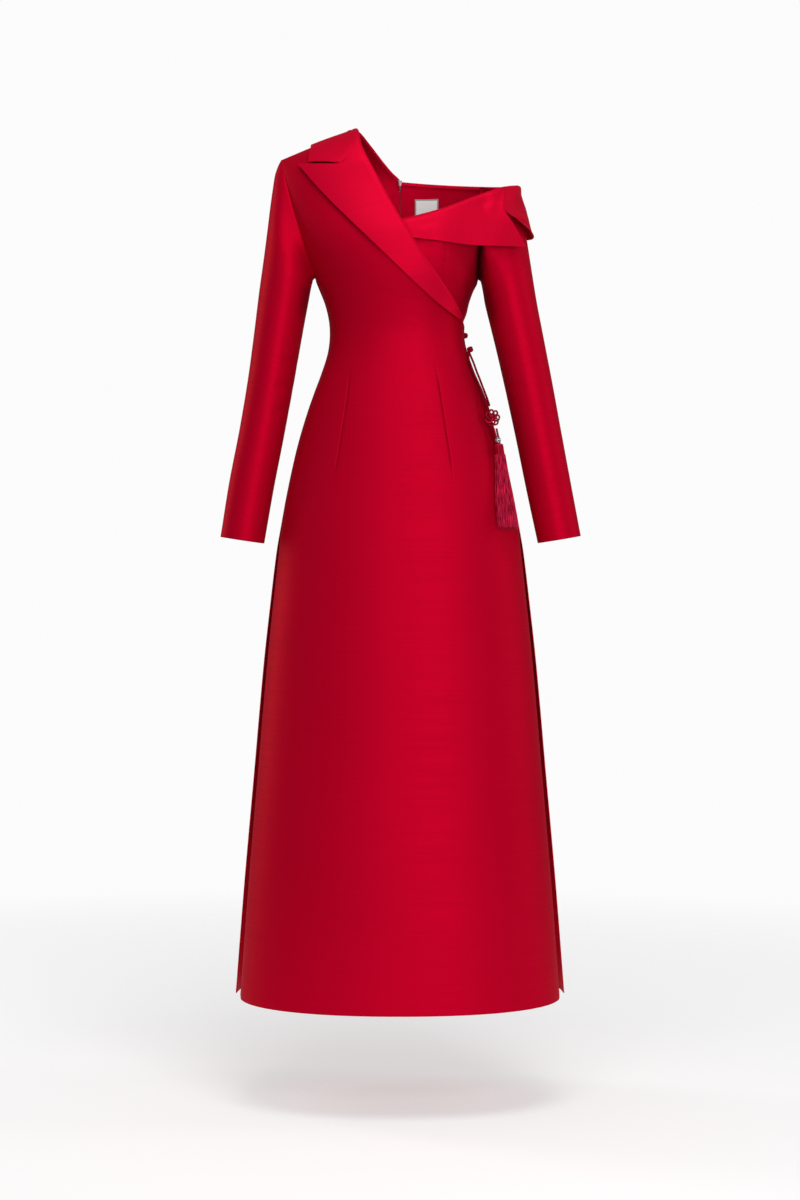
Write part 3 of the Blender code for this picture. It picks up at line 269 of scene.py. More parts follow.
# The back neckline on the right, from the centre back to the neck point: distance from the centre
# line, height.
NECK = (
    (0.0000, 1.3152),
    (0.0131, 1.3258),
    (0.0294, 1.3431),
    (0.0487, 1.3642),
    (0.0628, 1.3766),
    (0.0690, 1.3795),
)

# The off-shoulder neckline, from under the crossing front, round the left arm, to the centre back:
# share of the way, x, y, height.
LOW_NECK = (
    (0.00, -0.0300, -0.1085, 1.2120),
    (0.10, -0.0019, -0.1106, 1.2184),
    (0.24, 0.0577, -0.1005, 1.2345),
    (0.40, 0.1197, -0.0757, 1.2607),
    (0.52, 0.1629, -0.0481, 1.2797),
    (0.60, 0.1885, 0.0000, 1.2905),
    (0.70, 0.1640, 0.0500, 1.2970),
    (0.78, 0.1190, 0.0714, 1.3017),
    (0.90, 0.0521, 0.0852, 1.3075),
    (1.00, 0.0000, 0.0869, 1.3120),
)
print("the left neckline drops", round(NECK_POINT[1] - LOW_NECK[0][3], 3), "metres below the neck point")

# %% [markdown]
# A sleeve is two outlines and a depth, so it can bend at the elbow and widen at the cuff. The side
# slits open the skirt from the thigh down.

# %% Sleeves and slits
# Rings of a sleeve, from the armhole to the cuff: share of the way, x and height of the point
# farthest from the body, x and height of the nearest, and the half depth to the front and back.
SLEEVE_RIGHT = (
    (0.00, 0.1900, 1.3335, 0.1350, 1.1465, 0.060),
    (0.04, 0.1975, 1.3180, 0.1385, 1.1440, 0.060),
    (0.10, 0.2040, 1.2830, 0.1403, 1.1380, 0.060),
    (0.18, 0.2100, 1.2360, 0.1425, 1.1280, 0.059),
    (0.28, 0.2170, 1.1810, 0.1460, 1.1080, 0.056),
    (0.40, 0.2265, 1.1120, 0.1540, 1.0650, 0.052),
    (0.55, 0.2372, 1.0250, 0.1664, 0.9950, 0.047),
    (0.70, 0.2515, 0.9300, 0.1814, 0.9120, 0.043),
    (0.85, 0.2705, 0.8330, 0.1995, 0.8200, 0.039),
    (1.00, 0.2870, 0.7310, 0.2170, 0.7205, 0.036),
)
SLEEVE_LEFT = (
    (0.00, 0.1885, 1.2905, 0.1248, 1.1430, 0.066),
    (0.05, 0.1925, 1.2680, 0.1285, 1.1405, 0.066),
    (0.12, 0.1985, 1.2330, 0.1306, 1.1330, 0.063),
    (0.20, 0.2045, 1.1960, 0.1332, 1.1190, 0.060),
    (0.30, 0.2117, 1.1480, 0.1370, 1.0975, 0.056),
    (0.42, 0.2214, 1.0900, 0.1470, 1.0580, 0.051),
    (0.55, 0.2345, 1.0250, 0.1600, 1.0030, 0.047),
    (0.70, 0.2530, 0.9250, 0.1805, 0.9110, 0.043),
    (0.85, 0.2708, 0.8290, 0.1997, 0.8170, 0.039),
    (1.00, 0.2890, 0.7324, 0.2203, 0.7210, 0.036),
)

# The side slits, where the front panel's edge draws forward and the back's goes back and out:
# height, gap at the edge, flare of the back.
SLIT = (
    (0.000, 0.0120, 0.0085),
    (0.350, 0.0075, 0.0066),
    (0.640, 0.0030, 0.0045),
    (0.715, 0.0010, 0.0030),
    (0.745, 0.00015, 0.0008),
    (0.770, 0.00015, 0.0000),
    (1.500, 0.00015, 0.0000),
)
print("each sleeve is drafted from", len(SLEEVE_LEFT), "rings, and the slits end at", SLIT[4][0], "metres")

# %% [markdown]
# A point of the cloth is found by its turn round the body and its height. Over the shoulders, where
# the surface lies flat and height says little, the length of cloth in front of the shoulder line
# or behind it is used in its place.

# %% The body's surface
def shoulder_height(x):
    return read(SHOULDER_LINE, abs(x))[0]


def over_shoulder(x, height):
    """1 on the chest and back, falling to 0 at the top of the shoulder."""
    drop = clamp((shoulder_height(x) - height) / SHOULDER_ROUNDING)
    return math.sqrt(1 - (1 - drop) ** 2)


def turn_at(x, height):
    """Where x lies round the body: -90 at the right side, 0 at the centre, 90 at the left."""
    right, left, _, _ = read(BODY, height)
    share = clamp(abs(x) / (right if x < 0 else left))
    return math.copysign(math.degrees(math.asin(share ** (SQUARENESS / 2))), x)


def on_body(facing, turn, height):
    right, left, front, back = read(BODY, height)
    sine, cosine = math.sin(math.radians(turn)), math.cos(math.radians(turn))
    x = math.copysign(abs(sine) ** (2 / SQUARENESS), sine) * (right if turn < 0 else left)
    depth = front if facing == FRONT else back
    y = facing * depth * max(0.0, cosine) ** (2 / SQUARENESS) * over_shoulder(x, height)
    return Vector((x, y, height))


def drop_at(reach):
    """Height below the shoulder line at a length of cloth over it."""
    length = abs(reach)
    if length < SHOULDER_REACH:
        return SHOULDER_ROUNDING * (1 - math.cos(length / SHOULDER_REACH * math.pi / 2))
    return SHOULDER_ROUNDING + length - SHOULDER_REACH


def over_body(x, reach):
    """The point at x, a length in front of the shoulder line (below 0) or behind it (above 0)."""
    facing = FRONT if reach < 0 else BACK
    height = shoulder_height(x) - drop_at(reach)
    return on_body(facing, turn_at(x, height), height)


def out_over_body(x, reach):
    along = over_body(x + SLOPE_STEP, reach) - over_body(x - SLOPE_STEP, reach)
    down = over_body(x, reach + SLOPE_STEP) - over_body(x, reach - SLOPE_STEP)
    return along.cross(down).normalized()


def out_of_body(facing, turn, height):
    """The outward direction of the surface."""
    x = on_body(facing, turn, height).x
    drop = shoulder_height(x) - height
    if drop < 0.5 * SHOULDER_ROUNDING:
        rounding = math.acos(clamp(1 - drop / SHOULDER_ROUNDING, -1, 1)) * 2 / math.pi
        return out_over_body(x, facing * rounding * SHOULDER_REACH)
    turn = clamp(turn, -88.5, 88.5)
    across = on_body(facing, turn + 1, height) - on_body(facing, turn - 1, height)
    up = on_body(facing, turn, height + SLOPE_STEP) - on_body(facing, turn, height - SLOPE_STEP)
    return (across.cross(up) * -facing).normalized()


# %% [markdown]
# ## Cutting the panels
# Every panel is drafted as a coarse grid of points between its two side edges, from the hem up. A
# row is level on the body's surface, unless a neckline or a seam bends it.

# %% Drafting a panel
def armhole_right(share):
    """(x, height) up the right armhole, 0 at the underarm and 1 at the shoulder point."""
    x = mix(UNDERARM_RIGHT[0], -SHOULDER_POINT[0], share) - ARMHOLE_BOW * math.sin(math.pi * share)
    return x, mix(UNDERARM_RIGHT[1], SHOULDER_POINT[1], share)


def armhole_left_x(height):
    return UNDERARM_LEFT[0] + ARMHOLE_LEFT_LEAN * (height - UNDERARM_LEFT[1])


def panel_row(facing, first, last, shares, level=None, sink=None, at_seam=False):
    """Points of a panel's outer face from one (x, height) to another.

    `level` gives the height over an x between them, and `sink` sets the cloth further in."""
    turns = [turn_at(*first), turn_at(*last)]
    row = []
    for share in shares:
        turn = mix(turns[0], turns[1], share)
        height = mix(first[1], last[1], share)
        for _ in range(3):  # each round brings the point closer to its place on a row that rises
            x = on_body(facing, turn, height).x
            along = (x - first[0]) / (last[0] - first[0])
            height = level(x) if level else mix(first[1], last[1], along)
        point = on_body(facing, turn, height)
        if at_seam and shoulder_height(x) - height < 0.001:
            point.y = 0.0
        gap, flare = read(SLIT, height)
        depth = read(BODY, height)[2 if facing == FRONT else 3]
        point.y = facing * (gap + (1 - gap / depth) * abs(point.y))
        if facing == BACK:
            point.x *= 1 + flare / read(BODY, height)[0]
        if sink:
            point -= out_of_body(facing, turn, height) * sink(turn, height)
        row.append(point)
    return row


def side_x(side, height):
    return side * read(BODY, height)[0 if side == RIGHT else 1]


# %% [markdown]
# ## From a coarse draft to a smooth shell
# A draft has only as many points as its shape needs. A smooth curve through them in both
# directions gives as many more as a crease or a seam needs, and still passes through every drafted
# point, so the cloth lies exactly where its rigid solid does. A seam, a dart or a crease is then a
# soft trough: the cloth is moved along its own normal, less and less with distance from a path.

# %% More points on the same surface
CROWD = (-6, -3.5, -2, -1, -0.4, 0.4, 1, 2, 3.5, 6)  # millimetres from a crowded place
CLOSEST = 0.0002  # rows nearer than this to the one before are left out


def finer(rows, axis, spacing, crowded=(), ring=False):
    """The grid with points about `spacing` apart along one axis, and close together round the
    `crowded` places, which are counted in the draft's own rows or columns."""
    grid = np.array(rows, float)
    grid = grid.swapaxes(0, 1) if axis else grid
    last = len(grid) - 1
    if ring:
        grid, last = np.concatenate([grid[-3:], grid, grid[:4]]), len(grid)
    keys = np.concatenate([[0], np.cumsum(np.linalg.norm(np.diff(grid, axis=0), axis=2).mean(axis=1))])
    start, end = (keys[3], keys[3 + last]) if ring else (keys[0], keys[-1])
    count = max(2, round((end - start) / spacing))
    at = list(np.linspace(start, end, count + 1)[: -1 if ring else None])
    for place in crowded:
        centre = float(np.interp(place, range(len(keys)), keys))
        at += [centre + step * 0.001 for step in CROWD]
    at = sorted(a for a in at if start <= a <= end)
    kept = [at[0]]
    kept += [a for a in at[1:] if a - kept[-1] > CLOSEST]
    kept[-1] = at[-1]
    grid = hermite(keys, grid, kept)
    return grid.swapaxes(0, 1) if axis else grid


def grid_normals(grid, ring=False):
    """Unit normals of a grid of points, all on the side that the first and last axes make."""
    across = np.roll(grid, -1, 1) - np.roll(grid, 1, 1) if ring else np.gradient(grid, axis=1)
    normals = np.cross(across, np.gradient(grid, axis=0))
    return normals / np.maximum(np.linalg.norm(normals, axis=2, keepdims=True), 1e-12)


def looks_along(normals, grid, outward):
    """Above 0 where most normals look the way `outward` says, or away from the middle for None."""
    way = grid - grid.mean(axis=1, keepdims=True) if outward is None else np.asarray(outward)
    return (normals * way).sum()


def trough(flat, path, depth, width, taper=0.25):
    """Depths of a soft trough along a path, where `flat` is the grid seen as x and height."""
    path = np.array(path, float)
    runs = np.linalg.norm(np.diff(path, axis=0), axis=1)
    best, along = np.full(flat.shape[:2], 1e9), np.zeros(flat.shape[:2])
    for k, run in enumerate(runs):
        step = path[k + 1] - path[k]
        t = np.clip(((flat - path[k]) @ step) / run**2, 0, 1)
        far = np.linalg.norm(flat - path[k] - t[..., None] * step, axis=2)
        nearer = far < best
        best[nearer], along[nearer] = far[nearer], ((runs[:k].sum() + t * run) / runs.sum())[nearer]
    fade = np.clip(np.minimum(along, 1 - along) / taper, 0, 1) if taper else 1
    return -depth * np.exp(-((best / width) ** 2)) * fade * fade * (3 - 2 * fade)


# %% [markdown]
# Where two pieces are sewn, each rolls softly into the seam, and a few millimetres more of it, the
# allowance, are turned to the inside. The allowances close the seam, since no light falls through
# between two pieces that both turn in.

# %% A sewn edge
SEAM_DIP, SEAM_WIDTH = 0.0008, 0.0022  # how deep the cloth rolls into a seam, and how far beside it
ALLOWANCE = 0.004  # how far the edge is turned in
ALLOWANCE_LEAN = 0.0005  # how far the turned edge reaches towards the other piece
SIDE_FADE = 0.02  # depth of the side strip in which the way in turns from the front to the back


def inwards(points):
    """The way into the tunic from a seam, straight to the back or the front."""
    way = np.zeros(points.shape)
    way[..., 1] = -np.clip(points[..., 1] / SIDE_FADE, -1, 1)
    return way


def run_from_first(line):
    """The length of cloth from the grid's first row to each of its points."""
    steps = np.linalg.norm(np.diff(line, axis=0), axis=2)
    return np.concatenate([np.zeros((1, line.shape[1])), np.cumsum(steps, 0)])


def sewn_edge(grid, axis, at_end, lean, dip=SEAM_DIP, width=SEAM_WIDTH):
    """The grid with one edge rolled into its seam and its allowance turned to the inside, a little
    towards the other piece, which the vector `lean` points to."""
    line = grid.swapaxes(0, 1) if axis else grid
    line = line[::-1] if at_end else line
    roll = dip * np.exp(-((run_from_first(line) / width) ** 2))
    line = line + inwards(line[0])[None] * roll[..., None]
    lean = np.asarray(lean, float)
    turned = []
    for deep in (1.0, 0.6, 0.3, 0.1):
        turned.append(line[0] + inwards(line[0]) * ALLOWANCE * deep + lean * ALLOWANCE_LEAN * deep**0.5)
    line = np.concatenate([np.array(turned), line])
    line = line[::-1] if at_end else line
    return line.swapaxes(0, 1) if axis else line


# %% [markdown]
# A grid becomes a closed wall with the Solidify modifier, which is then applied. Its UV map is in
# metres along the cloth, so a weave keeps its size on every piece, and a number at each point says
# how much shade is painted into its colour, in creases and where other parts shade it.

# %% A shell of cloth from a grid
TUNIC, PULL = "tunic", "pull"
SATIN_WALL = 0.0012  # a little thinner than the solids' walls


def to_object(name, points, faces, uvs=None):
    """A mesh object at the frame's origin, from points in the pattern's own place."""
    mesh = bpy.data.meshes.new(name)
    mesh.from_pydata([placed(p) for p in points], [], faces)
    if uvs is not None:
        layer = mesh.uv_layers.new(name="cloth")
        for loop in mesh.loops:
            layer.data[loop.index].uv = uvs[loop.vertex_index]
    thing = bpy.data.objects.new(name, mesh)
    bpy.context.collection.objects.link(thing)
    return thing


def chosen(thing):
    deselect()
    thing.select_set(True)
    bpy.context.view_layer.objects.active = thing


def apply_all(thing):
    chosen(thing)
    for modifier in list(thing.modifiers):
        bpy.ops.object.modifier_apply(modifier=modifier.name)


def grid_faces(rows, columns, ring=False, closed=False):
    """Four-sided faces of a grid. A ring joins its last column to the first, a closed one its rows."""
    faces = []
    for i in range(rows if closed else rows - 1):
        here, above = i * columns, (i + 1) % rows * columns
        for j in range(columns if ring else columns - 1):
            beside = (j + 1) % columns
            faces.append((here + j, here + beside, above + beside, above + j))
    return faces


def shell(name, grid, outward, thickness, nodes, material, ring=False,
          offset=-1.0, painted_shade=None):
    """A closed wall of cloth on a grid. `outward` is the way that most of its face looks, and the
    last argument is how much shade is painted into each point's colour, from 0 to 1, in creases and
    where other parts shade the cloth."""
    rows, columns = grid.shape[:2]
    across = np.linalg.norm(np.diff(grid, axis=1), axis=2).mean(axis=0)
    down = np.linalg.norm(np.diff(grid, axis=0), axis=2).mean(axis=1)
    u, v = np.concatenate([[0], np.cumsum(across)]), np.concatenate([[0], np.cumsum(down)])
    uvs = [(u[j], v[i]) for i in range(rows) for j in range(columns)]
    faces = grid_faces(rows, columns, ring)
    if looks_along(grid_normals(grid, ring), grid, outward) < 0:
        faces = [face[::-1] for face in faces]
    thing = to_object(name, grid.reshape(-1, 3), faces, uvs)
    # how much shade is painted into each point's colour
    depths = np.zeros((rows, columns)) if painted_shade is None else np.clip(painted_shade, 0, 1)
    layer = thing.data.attributes.new("painted_shade", "FLOAT", "POINT")
    layer.data.foreach_set("value", depths.ravel().astype(np.float32))
    wall = thing.modifiers.new("wall", "SOLIDIFY")
    wall.thickness, wall.offset, wall.use_even_offset = thickness, offset, False
    apply_all(thing)
    bpy.ops.object.shade_smooth_by_angle(angle=math.radians(50))
    thing.data.materials.append(material)
    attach(thing, TUNIC)
    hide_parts(*nodes)
    print(name, "has", len(thing.data.polygons), "faces")


# %% [markdown]
# ## The two halves of the front
# The crossing front is one wide piece from the right armhole to the left side seam, with its free
# edge cut along the fold of the lapel. The left bodice runs on beneath it, up to the low neckline.

# %% Draft of the fronts
# Heights of the rows from the hem up, and above them shares of the way up the crossing edge.
LOW_ROWS = (0.0, 0.09, 0.18, 0.27, 0.36, 0.45, 0.54, 0.63, 0.68, 0.715, 0.745, 0.770, 0.805, 0.84)
LOW_ROWS += (0.875, 0.91, 0.94, 0.965, 0.99)
CROSSING_ROWS = (0.007, 0.018, 0.035, 0.06, 0.10, 0.15, 0.21, 0.28, 0.36, 0.45, 0.54, 0.63, 0.72)
CROSSING_ROWS += (0.80, 0.86, 0.91, 0.948, 0.973, 0.989, 0.9972, 1.0)
CROSSING_START = ROLL[0][0]
OUTERMOST = 0.60  # share of the off-shoulder neckline at its farthest point from the body
SHOULDER_SEAM_Y, SHOULDER_SEAM_DROP = 0.0006, 0.0001  # the front's last row, on the shoulder seam


def front_draft():
    shares = even(16)
    rows = []
    for height in LOW_ROWS:
        ends = (side_x(RIGHT, height), height), (side_x(LEFT, height), height)
        rows.append(panel_row(FRONT, *ends, shares))
    for k in range(1, 5):  # tilting up to the row from the underarm to the end of the crossing
        right = mix(LOW_ROWS[-1], UNDERARM_RIGHT[1], k / 4)
        left = mix(LOW_ROWS[-1], CROSSING_START, k / 4)
        rows.append(panel_row(FRONT, (side_x(RIGHT, right), right), (side_x(LEFT, left), left), shares))
    for up in CROSSING_ROWS:
        height = mix(CROSSING_START, ROLL[-1][0], up)
        ends = armhole_right(up), (read(ROLL, height)[0], height)
        rows.append(panel_row(FRONT, *ends, shares, at_seam=up == 1.0))
    seam = [(p.x, SHOULDER_SEAM_Y, shoulder_height(p.x) - SHOULDER_SEAM_DROP) for p in rows[-1]]
    return rows[:-1] + [[Vector(place) for place in seam]]


def low_neck(share):
    return Vector(read(LOW_NECK, share))


def low_neck_height(facing, x):
    """Height of the off-shoulder neckline over x, on the front or the back."""
    low, high = (0.0, OUTERMOST) if facing == FRONT else (OUTERMOST, 1.0)
    for _ in range(30):
        middle = (low + high) / 2
        ahead = low_neck(middle).x < x
        if ahead == (facing == FRONT):
            low = middle
        else:
            high = middle
    return low_neck((low + high) / 2).z


def left_corner(facing):
    """Where the left armhole meets the neckline."""
    height = 1.27  # a first guess, which each round brings closer
    for _ in range(6):
        height = low_neck_height(facing, armhole_left_x(height))
    return armhole_left_x(height), height


# %% [markdown]
# The left bodice lies a few millimetres inside the crossing front where the two overlap, and comes
# out to the body's own surface beyond the crossing edge. Its hidden edge runs inside the front.

# %% Draft of the left bodice
UNDER_DEPTH = 0.0046  # how far the left bodice lies inside the front
UNDER_REST = 0.0003  # how far in it still lies when it is clear of the front
CLEAR_START, CLEAR_SPAN = 6, 16  # degrees past the crossing edge where it starts to come out
HIDDEN_EDGE = 0.045  # how far it runs on beneath the crossing edge
HIDDEN_FOOT = 1.075  # below this height its hidden edge runs straight down


def past_crossing(turn, height):
    """0 under the crossing front and 1 where the left bodice is clear of its edge."""
    crossing = turn_at(read(ROLL, height)[0], height) if height > CROSSING_START else 90.0
    return ease((turn - crossing - CLEAR_START) / CLEAR_SPAN)


def under_front_draft():
    """The left bodice, from its waist up to the off-shoulder neckline."""
    corner = left_corner(FRONT)

    def hidden_x(height):
        return read(ROLL, max(height, HIDDEN_FOOT))[0] - HIDDEN_EDGE

    def sink(turn, height):
        return mix(UNDER_DEPTH, UNDER_REST, past_crossing(turn, height))

    shares = even(14)
    rows = []
    for k in range(0, 7):
        height = mix(1.030, UNDERARM_LEFT[1], k / 6)
        first = (hidden_x(height), height)
        rows.append(panel_row(FRONT, first, (side_x(LEFT, height), height), shares, sink=sink))
    start = UNDERARM_LEFT[1]
    end_height = low_neck(0.0).z
    for k in range(1, 9):
        height = mix(start, corner[1], k / 8)
        first_height = mix(start, end_height, k / 8)
        first = (hidden_x(first_height), first_height)

        def level(x, up=k / 8):
            top = low_neck_height(FRONT, clamp(x, -0.029, 0.19))  # the x that the neckline spans
            return mix(start, top, up)

        last = (armhole_left_x(height), height)
        rows.append(panel_row(FRONT, first, last, shares, level=level, sink=sink))
    return rows


# %% [markdown]
# ## The back
# Two halves meet at the zip. The right one rises to the neck, the left one stops at the low neckline.

# %% Draft of the back
def back_draft(side):
    centre = side * CENTRE_GAP / 2
    shares = even(11)
    if side == RIGHT:  # one column ends at the neck point
        ends = turn_at(-SHOULDER_POINT[0], SHOULDER_POINT[1]), turn_at(centre, NECK[0][1])
        neck = (turn_at(-NECK_POINT[0], NECK_POINT[1]) - ends[0]) / (ends[1] - ends[0])
        shares = even(5, 0.0, neck)[:-1]
        shares += [mix(neck, 1.0, share) for share in (0, 0.05, 0.14, 0.27, 0.42, 0.60, 0.80, 1)]
    rows = []
    under = UNDERARM_RIGHT[1] if side == RIGHT else UNDERARM_LEFT[1]
    for height in LOW_ROWS + (1.03, 1.07, 1.11, under):  # level rows, up to the underarm
        rows.append(panel_row(BACK, (side_x(side, height), height), (centre, height), shares))
    for k in range(1, 13):
        up = 1 - (1 - k / 12) ** 1.8  # closer together towards the top, where the cloth bends most

        def level(x, up=up):
            if side == LEFT:
                return mix(under, low_neck_height(BACK, max(x, 0.0005)), up)
            first_x = armhole_right(up)[0]
            top_x = mix(-SHOULDER_POINT[0], centre, (x - first_x) / (centre - first_x))
            on_neck = abs(top_x) < NECK_POINT[0]
            top = read(NECK, abs(top_x))[0] if on_neck else shoulder_height(top_x)
            return mix(under, top, up)

        if side == RIGHT:
            first = armhole_right(up)
        else:
            height = mix(under, left_corner(BACK)[1], up)
            first = (armhole_left_x(height), height)
        last = (centre, level(centre))
        rows.append(panel_row(BACK, first, last, shares, level=level, at_seam=k == 12))
    return rows


# %% [markdown]
# ## The sleeves
# A two-piece sleeve is a bent tube. It starts with the shape of its armhole and becomes an oval.

# %% Draft of a sleeve
AROUND = 24  # points round a sleeve
ARMHOLE_FADE = 0.30  # share of the sleeve over which the armhole's shape becomes an oval
SLEEVE_ROWS = (0.0, 0.02, 0.05, 0.09, 0.14, 0.20, 0.28, 0.38, 0.49, 0.61, 0.74, 0.87, 1.0)


def surface_y(facing, x, height):
    return on_body(facing, turn_at(x, height), height).y


def first_ring_right(angle):
    """A point of the right armhole, from the shoulder point (0) round the front to the underarm."""
    x, height = armhole_right((1 + math.cos(angle)) / 2)
    return Vector((x, surface_y(FRONT if math.sin(angle) > 0 else BACK, x, height), height))


def first_ring_left(angle):
    """A point of the left sleeve's top: half of it on the neckline and half on the armhole."""
    facing = FRONT if math.sin(angle) > 0 else BACK
    turned = abs((angle + math.pi) % (2 * math.pi) - math.pi)
    corner_x, corner_height = left_corner(facing)
    if turned < math.pi / 2:
        low, high = OUTERMOST, (0.40 if facing == FRONT else 0.78)
        for share in even(40, low, high):
            if low_neck(share).x <= corner_x + 0.0002:
                high = share
                break
        return low_neck(mix(low, high, turned / (math.pi / 2)))
    down = (turned - math.pi / 2) / (math.pi / 2)
    height = mix(corner_height, UNDERARM_LEFT[1], down**0.8)
    x = armhole_left_x(height)
    return Vector((x, surface_y(facing, x, height), height))


def sleeve_row(side, table, first_ring, share):
    """A ring of points round a sleeve."""
    out_x, out_z, in_x, in_z, depth = read(table, share)
    start_out_x, start_out_z, start_in_x, start_in_z, _ = table[0][1:]
    outer, inner = Vector((side * out_x, 0, out_z)), Vector((side * in_x, 0, in_z))
    first_out = Vector((side * start_out_x, 0, start_out_z))
    first_in = Vector((side * start_in_x, 0, start_in_z))
    oval = ease(share / ARMHOLE_FADE)
    ring = []
    for i in range(AROUND):
        angle = 2 * math.pi * i / AROUND
        along = (1 - math.cos(angle)) / 2
        point = outer.lerp(inner, along) + Vector((0, -depth * math.sin(angle), 0))
        at_armhole = first_ring(angle + 1e-6) - first_out.lerp(first_in, along) + outer.lerp(inner, along)
        ring.append(at_armhole.lerp(point, oval))
    return ring


def sleeve_draft(side, table, first_ring, away):
    shift = Vector(away) * 0.5 * SEAM
    return [[p + shift for p in sleeve_row(side, table, first_ring, share)] for share in SLEEVE_ROWS]


# %% [markdown]
# ## Lapels and collars
# A lapel is the panel's own cloth turned back over its edge, so its section climbs out of the
# neckline, rolls over and falls a little clear of the chest. The wall's middle is drafted here,
# and half of its thickness is added on each side.

# %% Measures of the lapels and collars
# Sections of the folded cloth over its edge, from the inside outwards, in millimetres out of the
# body and up: both for the wall's one side and for its other.
WRAPPED = ((-0.8, -2.5, -2.2, -2.5), (-0.9, 0.4, -2.4, 0.9), (-0.4, 1.2, -0.6, 2.9), (1.2, 0.7, 3.0, 1.9))
EDGED = ((-1.4, 0.6, -1.4, 2.0), (-0.5, 0.7, -0.3, 2.6), (0.5, 0.6, 1.6, 2.4), (1.0, 0.1, 3.0, 0.8))
STATIONS = 18  # sections along a lapel or collar
FALL = (0.16, 0.28, 0.40, 0.52, 0.64, 0.76, 0.88, 1.0)  # shares from the fold to the free edge
LIFT = 0.0019  # a lapel's height over its panel near the fold
EDGE_LIFT = 0.0030  # and how much more at its free edge
SHOULDER_EDGE_LIFT = 0.0003  # the same where a collar lies close over the shoulder
NOTCH_RIGHT = (-0.0931, 1.3120)  # x and height of the corner between lapel and collar
NOTCH_REACH = -0.1058  # the same corner's length of cloth from the shoulder line

# The right lapel, up to its peak: height of the fold, x and height of the free edge beside it.
LAPEL_RIGHT = (
    (1.0770, 0.0895, 1.0730),
    (1.0904, 0.0700, 1.0850),
    (1.1251, 0.0261, 1.1214),
    (1.1655, -0.0150, 1.1590),
    (1.2241, -0.0650, 1.2075),
    (1.2924, -0.1190, 1.2665),
    (1.3440, -0.1590, 1.3166),
)

# The right collar, from the lapel over the shoulder to the centre back: share of the way, x and
# reach of the fold, x and reach of the free edge. A reach is a length of cloth in front of the
# shoulder line (below 0) or behind it (above 0).
COLLAR_RIGHT = (
    (0.00, -0.0630, -0.0770, -0.1422, -0.0805),
    (0.15, -0.0670, -0.0450, -0.1405, -0.0390),
    (0.30, -0.0690, 0.0000, -0.1400, 0.0000),
    (0.45, -0.0605, 0.0280, -0.1340, 0.0350),
    (0.60, -0.0487, 0.0536, -0.1170, 0.0700),
    (0.75, -0.0294, 0.0834, -0.0860, 0.1050),
    (0.88, -0.0131, 0.1038, -0.0450, 0.1380),
    (1.00, -0.0012, 0.1150, -0.0012, 0.1640),
)

# Free edges of the left lapel and collar, which leave the chest and go round the arm: share of
# the way, x, y, height.
LAPEL_LEFT = (
    (0.00, 0.0225, -0.1150, 1.1905),
    (0.22, 0.0549, -0.1165, 1.1872),
    (0.54, 0.1083, -0.0965, 1.1831),
    (0.78, 0.1560, -0.0790, 1.1840),
    (1.00, 0.1980, -0.0500, 1.1875),
)
LAPEL_LEFT_FOLD = (0.128, 0.52)  # its shares of the low neckline
LEFT_BULGE = 0.0040  # how far the falls round out between the fold and the free edge
NOTCH_LEFT = (0.1585, -0.0740, 1.2428)  # the corner between them
LEFT_MIDDLE_X = 0.08  # the falls face away from this line, which runs up inside the left side
COLLAR_LEFT = (
    (0.00, 0.2065, -0.0345, 1.2145),
    (0.12, 0.2130, 0.0000, 1.2105),
    (0.30, 0.2005, 0.0490, 1.2130),
    (0.48, 0.1560, 0.0830, 1.2250),
    (0.66, 0.1030, 0.0960, 1.2440),
    (0.84, 0.0500, 0.1010, 1.2560),
    (1.00, 0.0012, 0.1020, 1.2630),
)
print("each fall is drafted from", STATIONS + 1, "sections across the fold")

# %% [markdown]
# A section starts behind the edge, passes over it and then falls to the free edge. Next to the
# notch, where a lapel and its collar meet, the way to the free edge is bent round the notch's
# corner, which leaves the open V between the two.

# %% Draft of the right lapel
def fold_middle(edge, out, up, section):
    """The middle of the folded cloth's wall where it passes over the edge."""
    return [edge + out * ((a + c) / 2000) + up * ((b + d) / 2000) for a, b, c, d in section]


def bent(start, corner, end, share, bend):
    """From start to end, drawn towards a path through the corner by `bend`."""
    straight = start.lerp(end, share)
    first, second = (corner - start).length, (end - corner).length
    at = share * (first + second)
    path = start.lerp(corner, at / first) if at < first else corner.lerp(end, (at - first) / second)
    return straight.lerp(path, bend)


def on_roll(height):
    """The point of the crossing edge at a height."""
    return on_body(FRONT, turn_at(read(ROLL, height)[0], height), height)


def lapel_right_draft():
    rows = []
    for share_up in even(STATIONS):
        height = mix(LAPEL_RIGHT[0][0], LAPEL_RIGHT[-1][0], share_up)
        x = read(ROLL, height)[0]
        facing_out = out_of_body(FRONT, turn_at(x, height), height)
        up = (on_roll(height + SLOPE_STEP) - on_roll(height - SLOPE_STEP)).cross(facing_out).normalized()
        up = up if up.x > 0 else -up
        row = fold_middle(on_roll(height), facing_out, up, EDGED)
        free = Vector((*read(LAPEL_RIGHT, height), 0))
        start, notch = Vector((x, height, 0)), Vector((*NOTCH_RIGHT, 0))
        bend = ease((share_up - 0.78) / 0.22)  # the top rows bend round the notch
        for share in FALL:
            x_at, height_at, _ = bent(start, notch, free, share, bend)
            turn = turn_at(x_at, height_at)
            point, out = on_body(FRONT, turn, height_at), out_of_body(FRONT, turn, height_at)
            row.append(point + out * (LIFT + EDGE_LIFT * share + COLLAR_CLOTH / 2))
        rows.append(row)
    return rows


# %% [markdown]
# The right collar goes on round the neck from the notch to the centre back, close over the shoulder.
# Its fold lies on the edge of the front first and then on the edge of the back.

